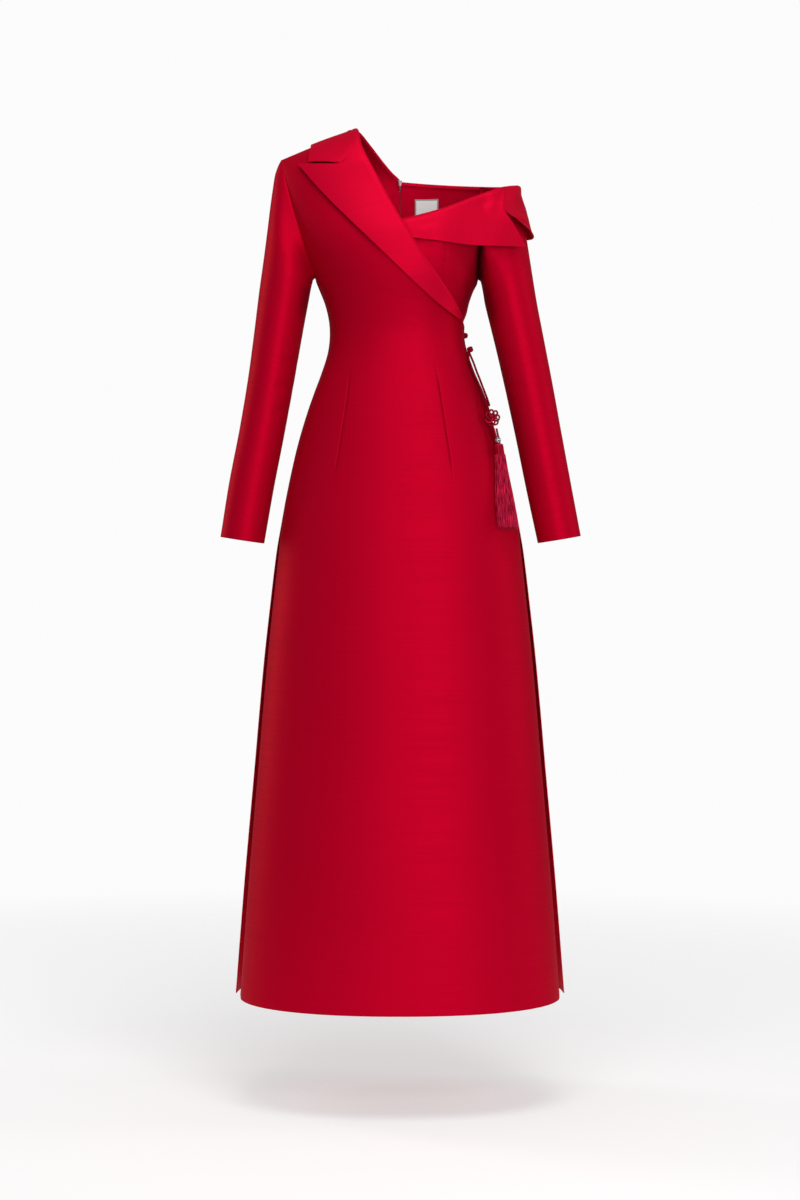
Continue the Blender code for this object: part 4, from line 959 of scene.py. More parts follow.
# %% Draft of the right collar
def collar_fold(share):
    """(x, reach) on the right collar's fold, which is the edge of the front and then the back."""
    x, reach = read(COLLAR_RIGHT, clamp(share))[:2]
    if reach < 0:
        return read(ROLL, shoulder_height(x) - drop_at(reach))[0], reach
    drop = NECK_POINT[1] - read(NECK, min(abs(x), NECK_POINT[0]))[0]
    return x, SHOULDER_REACH * math.acos(clamp(1 - drop / SHOULDER_ROUNDING)) * 2 / math.pi


def collar_right_draft():
    rows = []
    notch = Vector((NOTCH_RIGHT[0], NOTCH_REACH, 0))
    for share_round in even(STATIONS):
        at_centre = share_round == 1
        x, reach = collar_fold(share_round)
        edge_x, edge_reach = read(COLLAR_RIGHT, share_round)[2:]
        edge, out = over_body(x, reach), out_over_body(x, reach)
        ahead, behind = collar_fold(share_round + 0.02), collar_fold(share_round - 0.02)
        up = (over_body(*ahead) - over_body(*behind)).cross(out).normalized()
        up = up if up.x + up.z > 0 else -up
        if at_centre:
            up.x = 0.0
        row = fold_middle(edge, out, up, WRAPPED)
        bend = 1 - ease(share_round / 0.16)  # the first rows bend round the notch
        start, free = Vector((x, reach, 0)), Vector((edge_x, edge_reach, 0))
        for share in FALL:
            x_at, reach_at, _ = bent(start, notch, free, share, bend)
            point, out_at = over_body(x_at, reach_at), out_over_body(x_at, reach_at)
            lift = LIFT + mix(EDGE_LIFT, SHOULDER_EDGE_LIFT, ease(share_round / 0.2)) * share
            row.append(point + out_at * (lift + COLLAR_CLOTH / 2))
        if at_centre:
            for point in row:
                point.x = -CENTRE_GAP / 2
        rows.append(row)
    return rows


# %% [markdown]
# The left lapel and collar fold over the off-shoulder neckline and hang free round the arm. Their
# free edges are given as points in space, and a fall that would pass through the chest or the arm
# is moved out until it is clear.

# %% Draft of the left lapel and collar
CLEAR = LIFT + 0.0008  # what the left falls keep from the chest and the arm
NEAR_ARM_X, NEAR_ARM_HEIGHT = 0.011, 0.013  # how near a point of the arm has to be to count


def clear_of_left(point, arm, facing):
    """Moves the point to the front or the back until it is clear of the chest and the arm."""
    limit = None
    armhole_x = armhole_left_x(point.z)
    if 0 < point.x < armhole_x + 0.004:
        limit = abs(surface_y(facing, min(point.x, armhole_x), point.z))
        if facing == FRONT:
            limit -= mix(UNDER_DEPTH - 0.0012, 0.0, past_crossing(turn_at(point.x, point.z), point.z))
    for other in arm:
        near = abs(other.x - point.x) < NEAR_ARM_X and abs(other.z - point.z) < NEAR_ARM_HEIGHT
        if near and other.y * facing > 0:
            limit = max(limit or 0.0, abs(other.y))
    if limit is not None and point.y * facing < limit + CLEAR:
        point.y = facing * (limit + CLEAR)


def away_from_left(way, place):
    """The direction or its opposite, whichever looks out of the left side from a place."""
    return way if way.dot(place - Vector((LEFT_MIDDLE_X, 0, place.z))) > 0 else -way


def left_fold_draft(table, fold, bend_from_start):
    """A lapel or collar folded over the off-shoulder neckline."""
    arm = []
    for share in even(10, 0.0, 0.2):
        arm += sleeve_row(LEFT, SLEEVE_LEFT, first_ring_left, share)
    rows = []
    notch = Vector(NOTCH_LEFT)
    for along in even(STATIONS):
        at_centre = along == 1 and fold[1] == 1.0
        share_round = mix(*fold, along)
        edge = low_neck(share_round)
        tangent = low_neck(min(1.0, share_round + 0.01)) - low_neck(max(0.0, share_round - 0.01))
        out = away_from_left(Vector((-tangent.y, tangent.x, 0)).normalized(), edge)
        if at_centre:
            out, edge.x = Vector((0, 1, 0)), CENTRE_GAP / 2
        if edge.y < -0.06:  # the part of the neckline on the left bodice, which lies further in
            edge = edge - out * mix(UNDER_DEPTH, 0.0, past_crossing(turn_at(edge.x, edge.z), edge.z))
        row = fold_middle(edge, out, Vector((0, 0, 1)), WRAPPED)
        free = Vector(read(table, along))
        bend = 1 - ease(along / 0.22) if bend_from_start else ease((along - 0.70) / 0.30)
        ring = []
        for share in FALL:
            point = bent(edge, notch, free, share, bend) + out * LEFT_BULGE * 4 * share * (1 - share)
            facing = FRONT if point.y < 0 else BACK
            if abs(point.y) > 0.012:  # a point beside the arm is neither before nor behind it
                clear_of_left(point, arm, facing)
            ring.append(point)
        rows.append(row + ring)
    inner = [list(row) for row in rows]  # the falls so far lie on the wall's inner side
    for i, row in enumerate(inner):
        ahead, behind = inner[min(i + 1, STATIONS)], inner[max(i - 1, 0)]
        for j in range(4, len(row)):
            down = row[min(j + 1, len(row) - 1)] - row[j - 1]
            out = away_from_left((ahead[j] - behind[j]).cross(down).normalized(), row[j])
            if i == STATIONS and fold[1] == 1.0:
                out = Vector((0, out.y, out.z)).normalized()
            rows[i][j] = row[j] + out * COLLAR_CLOTH / 2
    return rows


# %% [markdown]
# A collar and its lapel are sewn together from the fold to the notch, so the collar's first row is
# laid on the lapel's last one there, and leaves it softly at the corner.

# %% Joining a collar to its lapel
def sewn_to(rows, other, reach, until=-1.0):
    """The rows with the first one laid on the line `other`, where it is within reach of that line
    and its x is above `until`."""
    first = []
    for point in rows[0]:
        nearest = None
        for a, b in zip(other, other[1:]):
            along = clamp((point - a).dot(b - a) / max((b - a).length_squared, 1e-12))
            on = a.lerp(b, along)
            if nearest is None or (on - point).length < (nearest - point).length:
                nearest = on
        gap = (nearest - point).length
        sewn = ease((reach - gap) / (0.4 * reach)) * ease((point.x - until) / 0.005)
        first.append(point.lerp(nearest, sewn))
    return [first] + rows[1:]


# %% [markdown]
# ## Shader maths in plain expressions
# A node graph is easier to read as a formula. This small class wraps one output socket, so that
# `0.4 + ribs * 0.1` adds the Math nodes by itself.

# %% A socket that does arithmetic
class Value:
    """One output socket, on which an expression adds Math nodes."""

    def __init__(self, graph, socket):
        self.graph, self.socket = graph, socket

    def maths(self, operation, *values):
        return self.graph.node("ShaderNodeMath", {"operation": operation}, dict(enumerate(values)))

    def __add__(self, other):
        return self.maths("ADD", self, other)

    def __sub__(self, other):
        return self.maths("SUBTRACT", self, other)

    def __rsub__(self, other):
        return self.maths("SUBTRACT", other, self)

    def __mul__(self, other):
        return self.maths("MULTIPLY", self, other)

    def least(self, other):
        return self.maths("MINIMUM", self, other)

    def sine(self):
        return self.maths("SINE", self)

    __radd__, __rmul__ = __add__, __mul__


class Graph:
    """The nodes of one material."""

    def __init__(self, name, preview):
        self.material = bpy.data.materials.new(name)
        self.material.use_nodes = True
        self.material.diffuse_color = (*preview, 1)
        self.tree = self.material.node_tree
        self.shader = self.tree.nodes["Principled BSDF"]

    def node(self, kind, settings=None, inputs=None, output=0):
        """One output of a new node, given its settings and the values or links of its sockets."""
        made = self.tree.nodes.new(kind)
        for name, value in (settings or {}).items():
            setattr(made, name, value)
        for name, value in (inputs or {}).items():
            if isinstance(value, Value):
                self.tree.links.new(value.socket, made.inputs[name])
            else:
                made.inputs[name].default_value = value
        return Value(self, made.outputs[output])

    def set(self, **constants):
        """Numbers and colours that are the same all over, on the shader's own sockets."""
        for name, value in constants.items():
            self.shader.inputs[name.replace("_", " ")].default_value = value

    def feed(self, name, value):
        self.tree.links.new(value.socket, self.shader.inputs[name])

    def mixed(self, factor, a, b):
        """Two colours mixed. Each is a Value or three numbers."""
        a, b = (v if isinstance(v, Value) else (*v, 1) for v in (a, b))
        settings = {"data_type": "RGBA", "blend_type": "MIX", "clamp_factor": True}
        return self.node("ShaderNodeMix", settings, {0: factor, 6: a, 7: b}, output=2)

    def uv(self):
        """Places on the piece's own UV map."""
        return self.node("ShaderNodeTexCoord", output=2)

    def place(self):
        """Places on the object, in metres."""
        return self.node("ShaderNodeTexCoord", output=3)

    def scaled(self, vector, scale):
        return self.node("ShaderNodeMapping", {}, {"Vector": vector, "Scale": scale})

    def noise(self, vector, scale, detail):
        return self.node("ShaderNodeTexNoise", {}, {"Vector": vector, "Scale": scale, "Detail": detail})

    def between(self, value, low, high, to_low=0.0, to_high=1.0):
        """A value's way from low to high, laid out from `to_low` to `to_high` and held at both ends."""
        return self.node("ShaderNodeMapRange", {}, {0: value, 1: low, 2: high, 3: to_low, 4: to_high})

    def bump(self, height, strength, distance):
        sockets = {"Strength": strength, "Distance": distance, "Height": height}
        self.feed("Normal", self.node("ShaderNodeBump", {}, sockets))


# %% [markdown]
# ## Heavy satin
# This satin has long threads on its face, so it shines in broad bands, and a fine cross rib that
# shows close up. The red of its highlights is as deep as the red of its shadows, which a plain
# glossy coat would wash out: the shine is partly metallic, so the reflection takes the dye's hue.
# The ribs run across the cloth on its own UV map, which is in metres, and their bump is shallow. A
# point attribute paints shade into the colour, in creases and where other parts shade the cloth.

# %% Satin
# the colour that the painted shade darkens the satin towards
SHADE_PAINT_COLOUR = (0.03, 0.0, 0.0008)  # the dye's colour where hardly any light comes in


def satin(name, colour, deep, shine=0.34, roughness=0.52):
    """Satin of one dye, from its bright colour to its deep one."""
    g = Graph(name, colour)
    uv = g.uv()
    bands = {"wave_type": "BANDS", "bands_direction": "Y", "wave_profile": "SIN"}
    across = {"Vector": uv, "Scale": 260.0, "Distortion": 0.6, "Detail": 1.0, "Detail Scale": 1.5}
    ribs = g.node("ShaderNodeTexWave", bands, across, output=1)
    slubs = g.noise(g.scaled(uv, (9.0, 420.0, 1.0)), 1.0, 2.0)
    warp = g.noise(g.scaled(uv, (2600.0, 380.0, 1.0)), 1.0, 1.0)
    broad = g.noise(uv, 5.0, 2.0)
    tone = g.between(slubs, 0.35, 0.65, -0.06, 0.06) + g.between(broad, 0.3, 0.7, -0.05, 0.05) + 0.30
    painted_shade = g.node("ShaderNodeAttribute", {"attribute_name": "painted_shade"}, output=2)
    # painted shade: the point attribute darkens the colour in creases and where other parts shade the cloth
    g.feed("Base Color", g.mixed(painted_shade, g.mixed(tone, colour, deep), SHADE_PAINT_COLOUR))
    g.feed("Roughness", g.between(slubs, 0.3, 0.7, roughness - 0.03, roughness + 0.04))
    g.bump(ribs * 0.6 + slubs * 0.5 + warp * 0.35, 0.22, 0.00025)
    g.set(Metallic=shine, IOR=1.25, Specular_IOR_Level=0.12, Specular_Tint=(1.0, 0.08, 0.24, 1))
    g.set(Sheen_Weight=0.01, Sheen_Roughness=0.35, Sheen_Tint=(1.0, 0.35, 0.42, 1))
    return g.material


SATIN = satin("satin", (0.60, 0.0006, 0.023), (0.40, 0.0003, 0.013))
# a lighter copy of the same satin, which paints the extra light that falls on the turned-back lapels and
# collars
LIT_SATIN = satin("lit_collar_satin", (0.70, 0.0020, 0.030), (0.50, 0.0012, 0.020), 0.30, 0.50)
print("two satins, one for the panels and a fresher one where the cloth turns back")

# %% [markdown]
# ## Making the panels
# Each draft is refined, creased and rolled into its seams, then given its wall. The two long darts
# that shape the waist keep their place between the centre and the side seam.

# %% The crossing front
def flat_of(grid):
    """The grid's places seen from the front, x and height."""
    return grid[..., [0, 2]]


def moved(grid, depths, outward, ring=False):
    """The grid moved by the sum of the depths along its normals, which look the way `outward` says."""
    normals = grid_normals(grid, ring)
    facing = math.copysign(1, looks_along(normals, grid, outward))
    return grid + normals * facing * sum(depths)[..., None]


def shade_line(flat, path, width, strength, taper=0.2):
    """How much shade is painted along a path, from 0 to 1."""
    return -trough(flat, path, strength, width, taper)


TOP_SINK = 0.0028  # how far the shoulder's top lies below the collar that covers it
TOP_X, TOP_HALF_WIDTH, TOP_HALF_DEPTH, TOP_FOOT = -0.077, 0.024, 0.034, 1.33  # where it does


def under_collar(grid):
    """How far each point sinks, so that the shoulder's top stays clear of its collar."""
    x, y, z = grid[..., 0], grid[..., 1], grid[..., 2]
    near = np.exp(-(((x - TOP_X) / TOP_HALF_WIDTH) ** 2) - (y / TOP_HALF_DEPTH) ** 2)
    return TOP_SINK * near * (z > TOP_FOOT)


DARTS = (
    ((-0.0770, 1.000), (-0.0810, 0.960), (-0.0910, 0.890), (-0.1035, 0.815)),
    ((0.0550, 1.000), (0.0610, 0.960), (0.0715, 0.890), (0.0830, 0.815)),
)
DART_DEPTH, DART_WIDTH, DART_SHADE = 0.0013, 0.0013, 0.0009
DART_PLACES = (0, 4.82, 4.95, 10.25, 10.35, 16)  # the columns of both side edges and of the darts
# painted shadow of the left arm on the front's left side, x and height along its middle
ARM_SHADE = ((0.106, 1.060), (0.114, 1.000), (0.130, 0.950), (0.152, 0.890), (0.174, 0.800))
front = finer(finer(front_draft(), 0, 0.0075), 1, 0.0050, crowded=DART_PLACES)
creases = [trough(flat_of(front), dart, DART_DEPTH, DART_WIDTH, 0.2) for dart in DARTS]
front = sewn_edge(moved(front, creases, (0, -1, 0)), 1, False, (-1, 0, -0.28))
front[..., 2] -= under_collar(front)
flat = flat_of(front)
# painted shade along the troughs of the darts
painted_shade = sum(shade_line(flat, dart, DART_SHADE, 0.5) for dart in DARTS)
painted_shade += shade_line(flat, ARM_SHADE, 0.030, 0.34, 0.35)
shell("front_cloth", front, (0, -1, 0), SATIN_WALL, ["front"], SATIN, painted_shade=painted_shade)

# %% [markdown]
# The off-shoulder seam under the left arm rolls in deeper than the others, because the sleeve pulls
# on it, and shade is painted on the cloth beside it and down the chest's side under the arm. One
# short dart shapes the bust.

# %% The left bodice
DEEP_DIP, DEEP_WIDTH = 0.0030, 0.006  # of the seam under the left arm
BUST_DART = ((0.0700, 1.196), (0.0690, 1.170), (0.0660, 1.140))
# painted shade beside the seam under the left arm, and the arm's painted shadow down the chest: x and
# height
ARMHOLE_SHADE = ((0.1265, 1.128), (0.1262, 1.150), (0.1270, 1.180), (0.1285, 1.215))
CHEST_SHADE = ((0.104, 1.060), (0.112, 1.100), (0.118, 1.140), (0.116, 1.190), (0.112, 1.220))
under = finer(finer(under_front_draft(), 0, 0.005), 1, 0.0045, crowded=(14,))
under = moved(under, [trough(flat_of(under), BUST_DART, 0.0009, 0.0016, 0.3)], (0, -1, 0))
under = sewn_edge(under, 1, True, (1, 0, 0), DEEP_DIP, DEEP_WIDTH)
flat = flat_of(under)
# painted shade along the bust dart, beside the seam under the arm and down the chest's side
painted_shade = shade_line(flat, BUST_DART, 0.0010, 0.3) + shade_line(flat, ARMHOLE_SHADE, 0.0060, 0.9, 0.2)
painted_shade += shade_line(flat, CHEST_SHADE, 0.026, 0.36, 0.3)
shell("under_front_cloth", under, (0, -1, 0), SATIN_WALL, ["under_front"], SATIN,
      painted_shade=painted_shade)

# %% [markdown]
# The backs meet edge to edge below the zip. Two soft creases run from the small of the back to the
# sides, where the waist is drawn in, and a long fold falls through each skirt. A crease is written
# once with its x above 0, and the same code lays it on either side.

# %% The backs
GAP_TOP, GAP_FADE = 0.80, 0.02  # the backs meet below this height, and the gap opens over the fade
GAP_WIDTH, GAP_OVERLAP = 0.004, 0.00012  # how far beside the gap the cloth moves, and past its middle
CREASE_TAPER = 0.45  # share of a crease over which either end fades out


def closed_gap(grid):
    """How far each point moves in x, so that the back's two halves meet below the zip's foot."""
    edge = CENTRE_GAP / 2
    below_zip = np.clip((GAP_TOP - grid[..., 2]) / GAP_FADE, 0, 1)
    shut = below_zip * np.exp(-(((np.abs(grid[..., 0]) - edge) / GAP_WIDTH) ** 2))
    return np.sign(grid[..., 0]) * (edge + GAP_OVERLAP) * shut


def creased(grid, side, creases, outward, ring=False):
    """The grid with its creases, each a path, a depth and a width."""
    depths = []
    for path, depth, width in creases:
        path = [(side * x, height) for x, height in path]
        depths.append(trough(flat_of(grid), path, depth, width, CREASE_TAPER))
    return moved(grid, depths, outward, ring)


BACK_CREASES = {
    RIGHT: (
        (((0.012, 1.022), (0.094, 1.052)), 0.0016, 0.008),
        (((0.016, 0.986), (0.100, 1.004)), 0.0013, 0.010),
        (((0.112, 0.600), (0.132, 0.330), (0.140, 0.060)), 0.0050, 0.024),
    ),
    LEFT: (
        (((0.014, 1.036), (0.088, 1.050)), 0.0015, 0.009),
        (((0.010, 1.000), (0.096, 0.984)), 0.0012, 0.010),
        (((0.096, 0.640), (0.118, 0.300), (0.128, 0.050)), 0.0045, 0.026),
    ),
}
for side, name, last in ((RIGHT, "back_right", 12), (LEFT, "back_left", 11)):
    back = finer(finer(back_draft(side), 0, 0.008), 1, 0.006, crowded=(0, last))
    back = creased(back, side, BACK_CREASES[side], (0, 1, 0))
    back = sewn_edge(back, 1, False, (side, 0, -0.2))
    back[..., 0] -= closed_gap(back)
    back[..., 2] -= under_collar(back)
    shell(name + "_cloth", back, (0, 1, 0), SATIN_WALL, [name], SATIN)

# %% [markdown]
# A few short creases gather in each elbow's bend, and shade is painted down each sleeve's inner side,
# where the body shades it. The seam at the top of a sleeve is an open ring, so its way in, its
# depth and its allowance change from the front of the arm to the back.

# %% The sleeves
SLEEVE_CREASES = {
    RIGHT: (
        (((0.163, 1.000), (0.190, 1.018)), 0.0013, 0.006),
        (((0.168, 0.972), (0.205, 0.966)), 0.0014, 0.007),
        (((0.176, 0.940), (0.204, 0.922)), 0.0010, 0.007),
    ),
    LEFT: (
        (((0.160, 1.006), (0.184, 1.022)), 0.0011, 0.006),
        (((0.166, 0.968), (0.200, 0.970)), 0.0013, 0.007),
    ),
}
# Name, side, rings, first ring, way from the body, dip and width of the seam in front, and how
# much wider its allowance is behind, where the two pieces lie further apart.
SLEEVES = (
    ("sleeve_right", RIGHT, SLEEVE_RIGHT, first_ring_right, (-0.960, 0, -0.280), SEAM_DIP, SEAM_WIDTH, 0),
    ("sleeve_left", LEFT, SLEEVE_LEFT, first_ring_left, (0.9988, 0, -0.050), DEEP_DIP, DEEP_WIDTH, 7),
)
for name, side, table, first_ring, away, dip, width, wider in SLEEVES:
    sleeve = finer(sleeve_draft(side, table, first_ring, away), 0, 0.005, crowded=(0,))
    sleeve = finer(sleeve, 1, 0.0045, ring=True)
    sleeve = creased(sleeve, side, SLEEVE_CREASES[side], None, ring=True)
    behind = np.array([ease(y / SIDE_FADE) for y in sleeve[0, :, 1]])  # 0 in front and 1 behind
    lean = -np.array(away) * (1 + wider * behind)[:, None]
    sleeve = sewn_edge(sleeve, 0, False, lean, mix(dip, SEAM_DIP, behind), mix(width, SEAM_WIDTH, behind))
    flat = flat_of(sleeve)
    # painted shade down the sleeve's inner side, where the body shades it
    inner = [(side * row[3], row[4]) for row in table[1:6]]
    painted_shade = shade_line(flat, inner, 0.013, 0.45, 0.4)
    if side == LEFT:
        # painted shade beside the seam under the left arm, on the sleeve too
        painted_shade += shade_line(flat, ARMHOLE_SHADE, 0.0045, 0.9, 0.2)
    shell(name + "_cloth", sleeve, None, SATIN_WALL, [name], SATIN, ring=True,
          painted_shade=painted_shade)

# %% [markdown]
# Each collar is sewn to its lapel from the fold to the notch. The left lapel starts behind the
# crossing front, so a first row is added that tucks its end out of sight. Shade is painted along
# the edges of the right notch, since a slit between two layers shows as a thin dark line.

# %% Lapels and collars
SEWN_REACH = 0.008  # how near the lapel a point of the collar has to be to join it
TUCK, TUCK_BACK = 0.006, 0.0012  # how far the tucked row runs on, and how far back it goes
FOLD_WALL = COLLAR_CLOTH * 0.8
# the notch's slit is painted as a thin line of shade: its width, where it starts and where it ends
SLIT_WIDTH = 0.0013  # of the dark line
SLIT_START = 0.010  # it comes in over this length outside the corner
SLIT_STOP, SLIT_FADE = -0.147, 0.012  # and is gone at this x, over this length
lapel_right, collar_right = lapel_right_draft(), collar_right_draft()
collar_right = sewn_to(collar_right, lapel_right[-1], SEWN_REACH, NOTCH_RIGHT[0] - 0.003)
lapel_left = left_fold_draft(LAPEL_LEFT, LAPEL_LEFT_FOLD, False)
collar_left = left_fold_draft(COLLAR_LEFT, (LAPEL_LEFT_FOLD[1], 1.0), True)
collar_left = sewn_to(collar_left, lapel_left[-1], SEWN_REACH)
tucked = []
for first, second in zip(lapel_left[0], lapel_left[1]):
    tucked.append(first + (first - second).normalized() * TUCK + Vector((0, TUCK_BACK, 0)))
lapel_left = [tucked] + lapel_left


def slit_shade(grid, at_end):
    """Painted shade along the two edges of the right notch, outside its corner."""
    far = run_from_first(grid[::-1])[::-1] if at_end else run_from_first(grid)
    outside = np.clip((NOTCH_RIGHT[0] - grid[..., 0]) / SLIT_START, 0, 1)
    inside = np.clip((grid[..., 0] - SLIT_STOP) / SLIT_FADE, 0, 1)
    return np.exp(-((far / SLIT_WIDTH) ** 2)) * outside * inside


for name, draft, outward, flat, area in (
    ("lapel_right", lapel_right, (-0.5, -1, 0), (0.12, 0.38), 0.026),
    ("collar_right", collar_right, (-1, 0, 0.6), (0.10, 0.34), 0.027),
    ("lapel_left", lapel_left, (0.2, -1, 0), (0.11, 0.22), 0.018),
    ("collar_left", collar_left, (0.3, 1, 0), (0.10, 0.26), 0.020),
):
    fold = finer(finer(draft, 0, 0.004, crowded=(0, len(draft) - 1)), 1, 0.0028)
    painted_shade = slit_shade(fold, name == "lapel_right") if name.endswith("right") else None
    shell(name + "_cloth", fold, outward, FOLD_WALL, [name], LIT_SATIN, offset=0.0,
          painted_shade=painted_shade)

# %% [markdown]
# ## Silk cord
# The cord is three plies twisted together. Its section is a soft trefoil that turns as it goes
# along, so the twist is real relief that catches the light, and no texture has to line up with it.

# %% Thread materials
def thread(name, colour, deep, pitch, roughness, shine):
    """Silk threads that run along the piece's own UV map, whose v is metres along it."""
    g = Graph(name, colour)
    uv = g.uv()
    fibres = g.noise(g.scaled(uv, (900.0, 60.0, 1.0)), 1.0, 2.0)
    bands = {"wave_type": "BANDS", "bands_direction": "DIAGONAL"}
    slanted = {"Vector": g.scaled(uv, (1.0, pitch, 1.0)), "Scale": 1.0, "Distortion": 0.4}
    twist = g.node("ShaderNodeTexWave", bands, slanted, output=1)
    g.feed("Base Color", g.mixed(g.between(fibres, 0.36, 0.62, 0.0, 1.0), colour, deep))
    g.feed("Roughness", g.between(fibres, 0.3, 0.7, roughness - 0.06, roughness + 0.08))
    g.bump(fibres * 0.7 + twist * 0.3, 0.35, 0.0002)
    g.set(Metallic=shine, Specular_IOR_Level=0.15, Specular_Tint=(1.0, 0.45, 0.5, 1))
    return g.material


CORD_SATIN = thread("cord_satin", (0.30, 0.0012, 0.012), (0.11, 0.0004, 0.004), 300.0, 0.55, 0.15)
TASSEL_SILK = thread("tassel_silk", (0.95, 0.024, 0.105), (0.13, 0.001, 0.008), 40.0, 0.42, 0.12)
KNOT_SATIN = thread("knot_satin", (0.56, 0.005, 0.036), (0.13, 0.0006, 0.005), 300.0, 0.48, 0.2)
WRAP_SILK = thread("wrap_silk", (0.50, 0.003, 0.024), (0.20, 0.001, 0.008), 900.0, 0.36, 0.28)
print("four silks, for the hanging cords, the tassel, the knots and the wound head")

# %% [markdown]
# A tube is a ring of points carried along a line. Each ring starts from the way the last one was
# turned, so the tube doesn't spin at a bend, and the plies then turn by a steady angle per metre.

# %% A twisted tube
def tube(points, radius, sides=12, ply=3, turns_per_metre=260.0, lobe=0.16, closed=False, scale=None):
    """(points, faces, uvs) of a plied cord along a line of points. `scale` thins it along its way."""
    line = np.array([tuple(p) for p in points])
    ahead = (np.roll(line, -1, 0) - np.roll(line, 1, 0)) if closed else np.gradient(line, axis=0)
    ahead /= np.linalg.norm(ahead, axis=1, keepdims=True)
    side = np.cross(ahead[0], (0.1, 0.3, 1.0))
    runs = np.concatenate([[0], np.cumsum(np.linalg.norm(np.diff(line, axis=0), axis=1))])
    places, uvs = [], []
    for k, (centre, way) in enumerate(zip(line, ahead)):
        side = side - way * side.dot(way)
        side /= np.linalg.norm(side)
        over = np.cross(way, side)
        size = radius * (scale[k] if scale is not None else 1.0)
        for i in range(sides):
            angle = 2 * math.pi * i / sides
            groove = math.cos(ply * angle + 2 * math.pi * turns_per_metre * runs[k])
            reach = size * (1 - lobe / 2 + lobe / 2 * groove)
            places.append(centre + (side * math.cos(angle) + over * math.sin(angle)) * reach)
            uvs.append((i / sides * 2 * math.pi * radius, runs[k]))
    rings = len(line)
    faces = grid_faces(rings, sides, ring=True, closed=closed)
    if not closed:
        faces += [tuple(range(sides))[::-1], tuple(range((rings - 1) * sides, rings * sides))]
    return places, faces, uvs


def gathered(parts):
    """Several (points, faces, uvs) as one."""
    points, faces, uvs = [], [], []
    for some_points, some_faces, some_uvs in parts:
        start = len(points)
        points += list(some_points)
        faces += [tuple(i + start for i in face) for face in some_faces]
        uvs += list(some_uvs)
    return points, faces, uvs


def finished(thing, material, nodes=(), body=TUNIC, smooth=60):
    """Normals out, smooth shading, a material, the body it rides on, and the frame's parts that it replaces
    hidden.
    """
    chosen(thing)
    bpy.ops.object.mode_set(mode="EDIT")
    bpy.ops.mesh.select_all(action="SELECT")
    bpy.ops.mesh.normals_make_consistent(inside=False)
    bpy.ops.object.mode_set(mode="OBJECT")
    bpy.ops.object.shade_smooth_by_angle(angle=math.radians(smooth))
    thing.data.materials.clear()
    thing.data.materials.append(material)
    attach(thing, body)
    if nodes:
        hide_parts(*nodes)
    print(thing.name, "has", len(thing.data.polygons), "faces")


def beside_body(turn, height, lift, facing=FRONT):
    """A point off the cloth, given by its turn round the body, its height and its lift."""
    return on_body(facing, turn, height) + out_of_body(facing, turn, height) * lift


# %% [markdown]
# ## The hanging cords
# Two strands leave the lower button, one in front of the other, and meet above the knot. Their
# routes are the solids' own: a turn round the body, a height and a lift off the cloth.

# %% Hanging cords
CORD_RADIUS = 0.0018
# Share of the way, turn, height, lift.
TASSEL_CORD_1 = (
    (0.00, 77.5, 1.0225, 0.0036),
    (0.20, 78.6, 1.0060, 0.0042),
    (0.45, 77.5, 0.9850, 0.0042),
    (0.70, 71.5, 0.9620, 0.0056),
    (0.88, 68.0, 0.9450, 0.0082),
    (1.00, 64.8, 0.9335, 0.0115),
)
TASSEL_CORD_2 = (
    (0.00, 72.0, 1.0225, 0.0034),
    (0.20, 66.3, 1.0050, 0.0038),
    (0.45, 66.8, 0.9850, 0.0040),
    (0.70, 65.0, 0.9610, 0.0060),
    (0.88, 62.6, 0.9440, 0.0090),
    (1.00, 60.6, 0.9335, 0.0120),
)
for name, route in (("tassel_cord_1", TASSEL_CORD_1), ("tassel_cord_2", TASSEL_CORD_2)):
    line = [beside_body(*read(route, share)) for share in even(60)]
    cord = to_object(name + "_silk", *tube(line, CORD_RADIUS, lobe=0.08))
    finished(cord, CORD_SATIN, [name])
    length = sum((b - a).length for a, b in zip(line, line[1:]))
    print(name, "is", round(length, 4), "metres long")

# %% [markdown]
# ## Button balls and the flower knot
# Both are one cord that passes over and under itself. A sine wave along a closed ring gives the
# path, and a second one lifts it at every other crossing.

# %% Button balls
UP = Vector((0, 0, 1))
BUTTONS = (("button_1", BACK, 74.0, 1.0560), ("button_2", FRONT, 84.0, 1.0280))
BALL_RADIUS, BALL_CORD, BALL_LIFT = 0.0036, 0.0015, 0.0052
STALK = (0.0050, 0.0035, 0.002)  # depths of the stalk's points below the ball's middle
STALK_RADIUS = 0.0016
LOOP_DEPTH, LOOP_RADIUS, LOOP_WIDTH, LOOP_CORD = 0.0035, 0.0034, 1.15, 0.0007


def ball_path(middle, axis, steps=240, leads=3, bights=5):
    """A Turk's head: a cord wound round a ball so that it weaves over and under itself."""
    side = axis.orthogonal().normalized()
    other = axis.cross(side)
    path = []
    for k in range(steps):
        t = 2 * math.pi * k / steps
        tilt = 0.98 * math.cos(bights * t)
        over = 1 + 0.13 * math.cos(2 * bights * t + 0.6)
        reach = side * math.cos(leads * t) + other * math.sin(leads * t)
        path.append(middle + (reach * math.cos(tilt) + axis * math.sin(tilt)) * BALL_RADIUS * over)
    return path


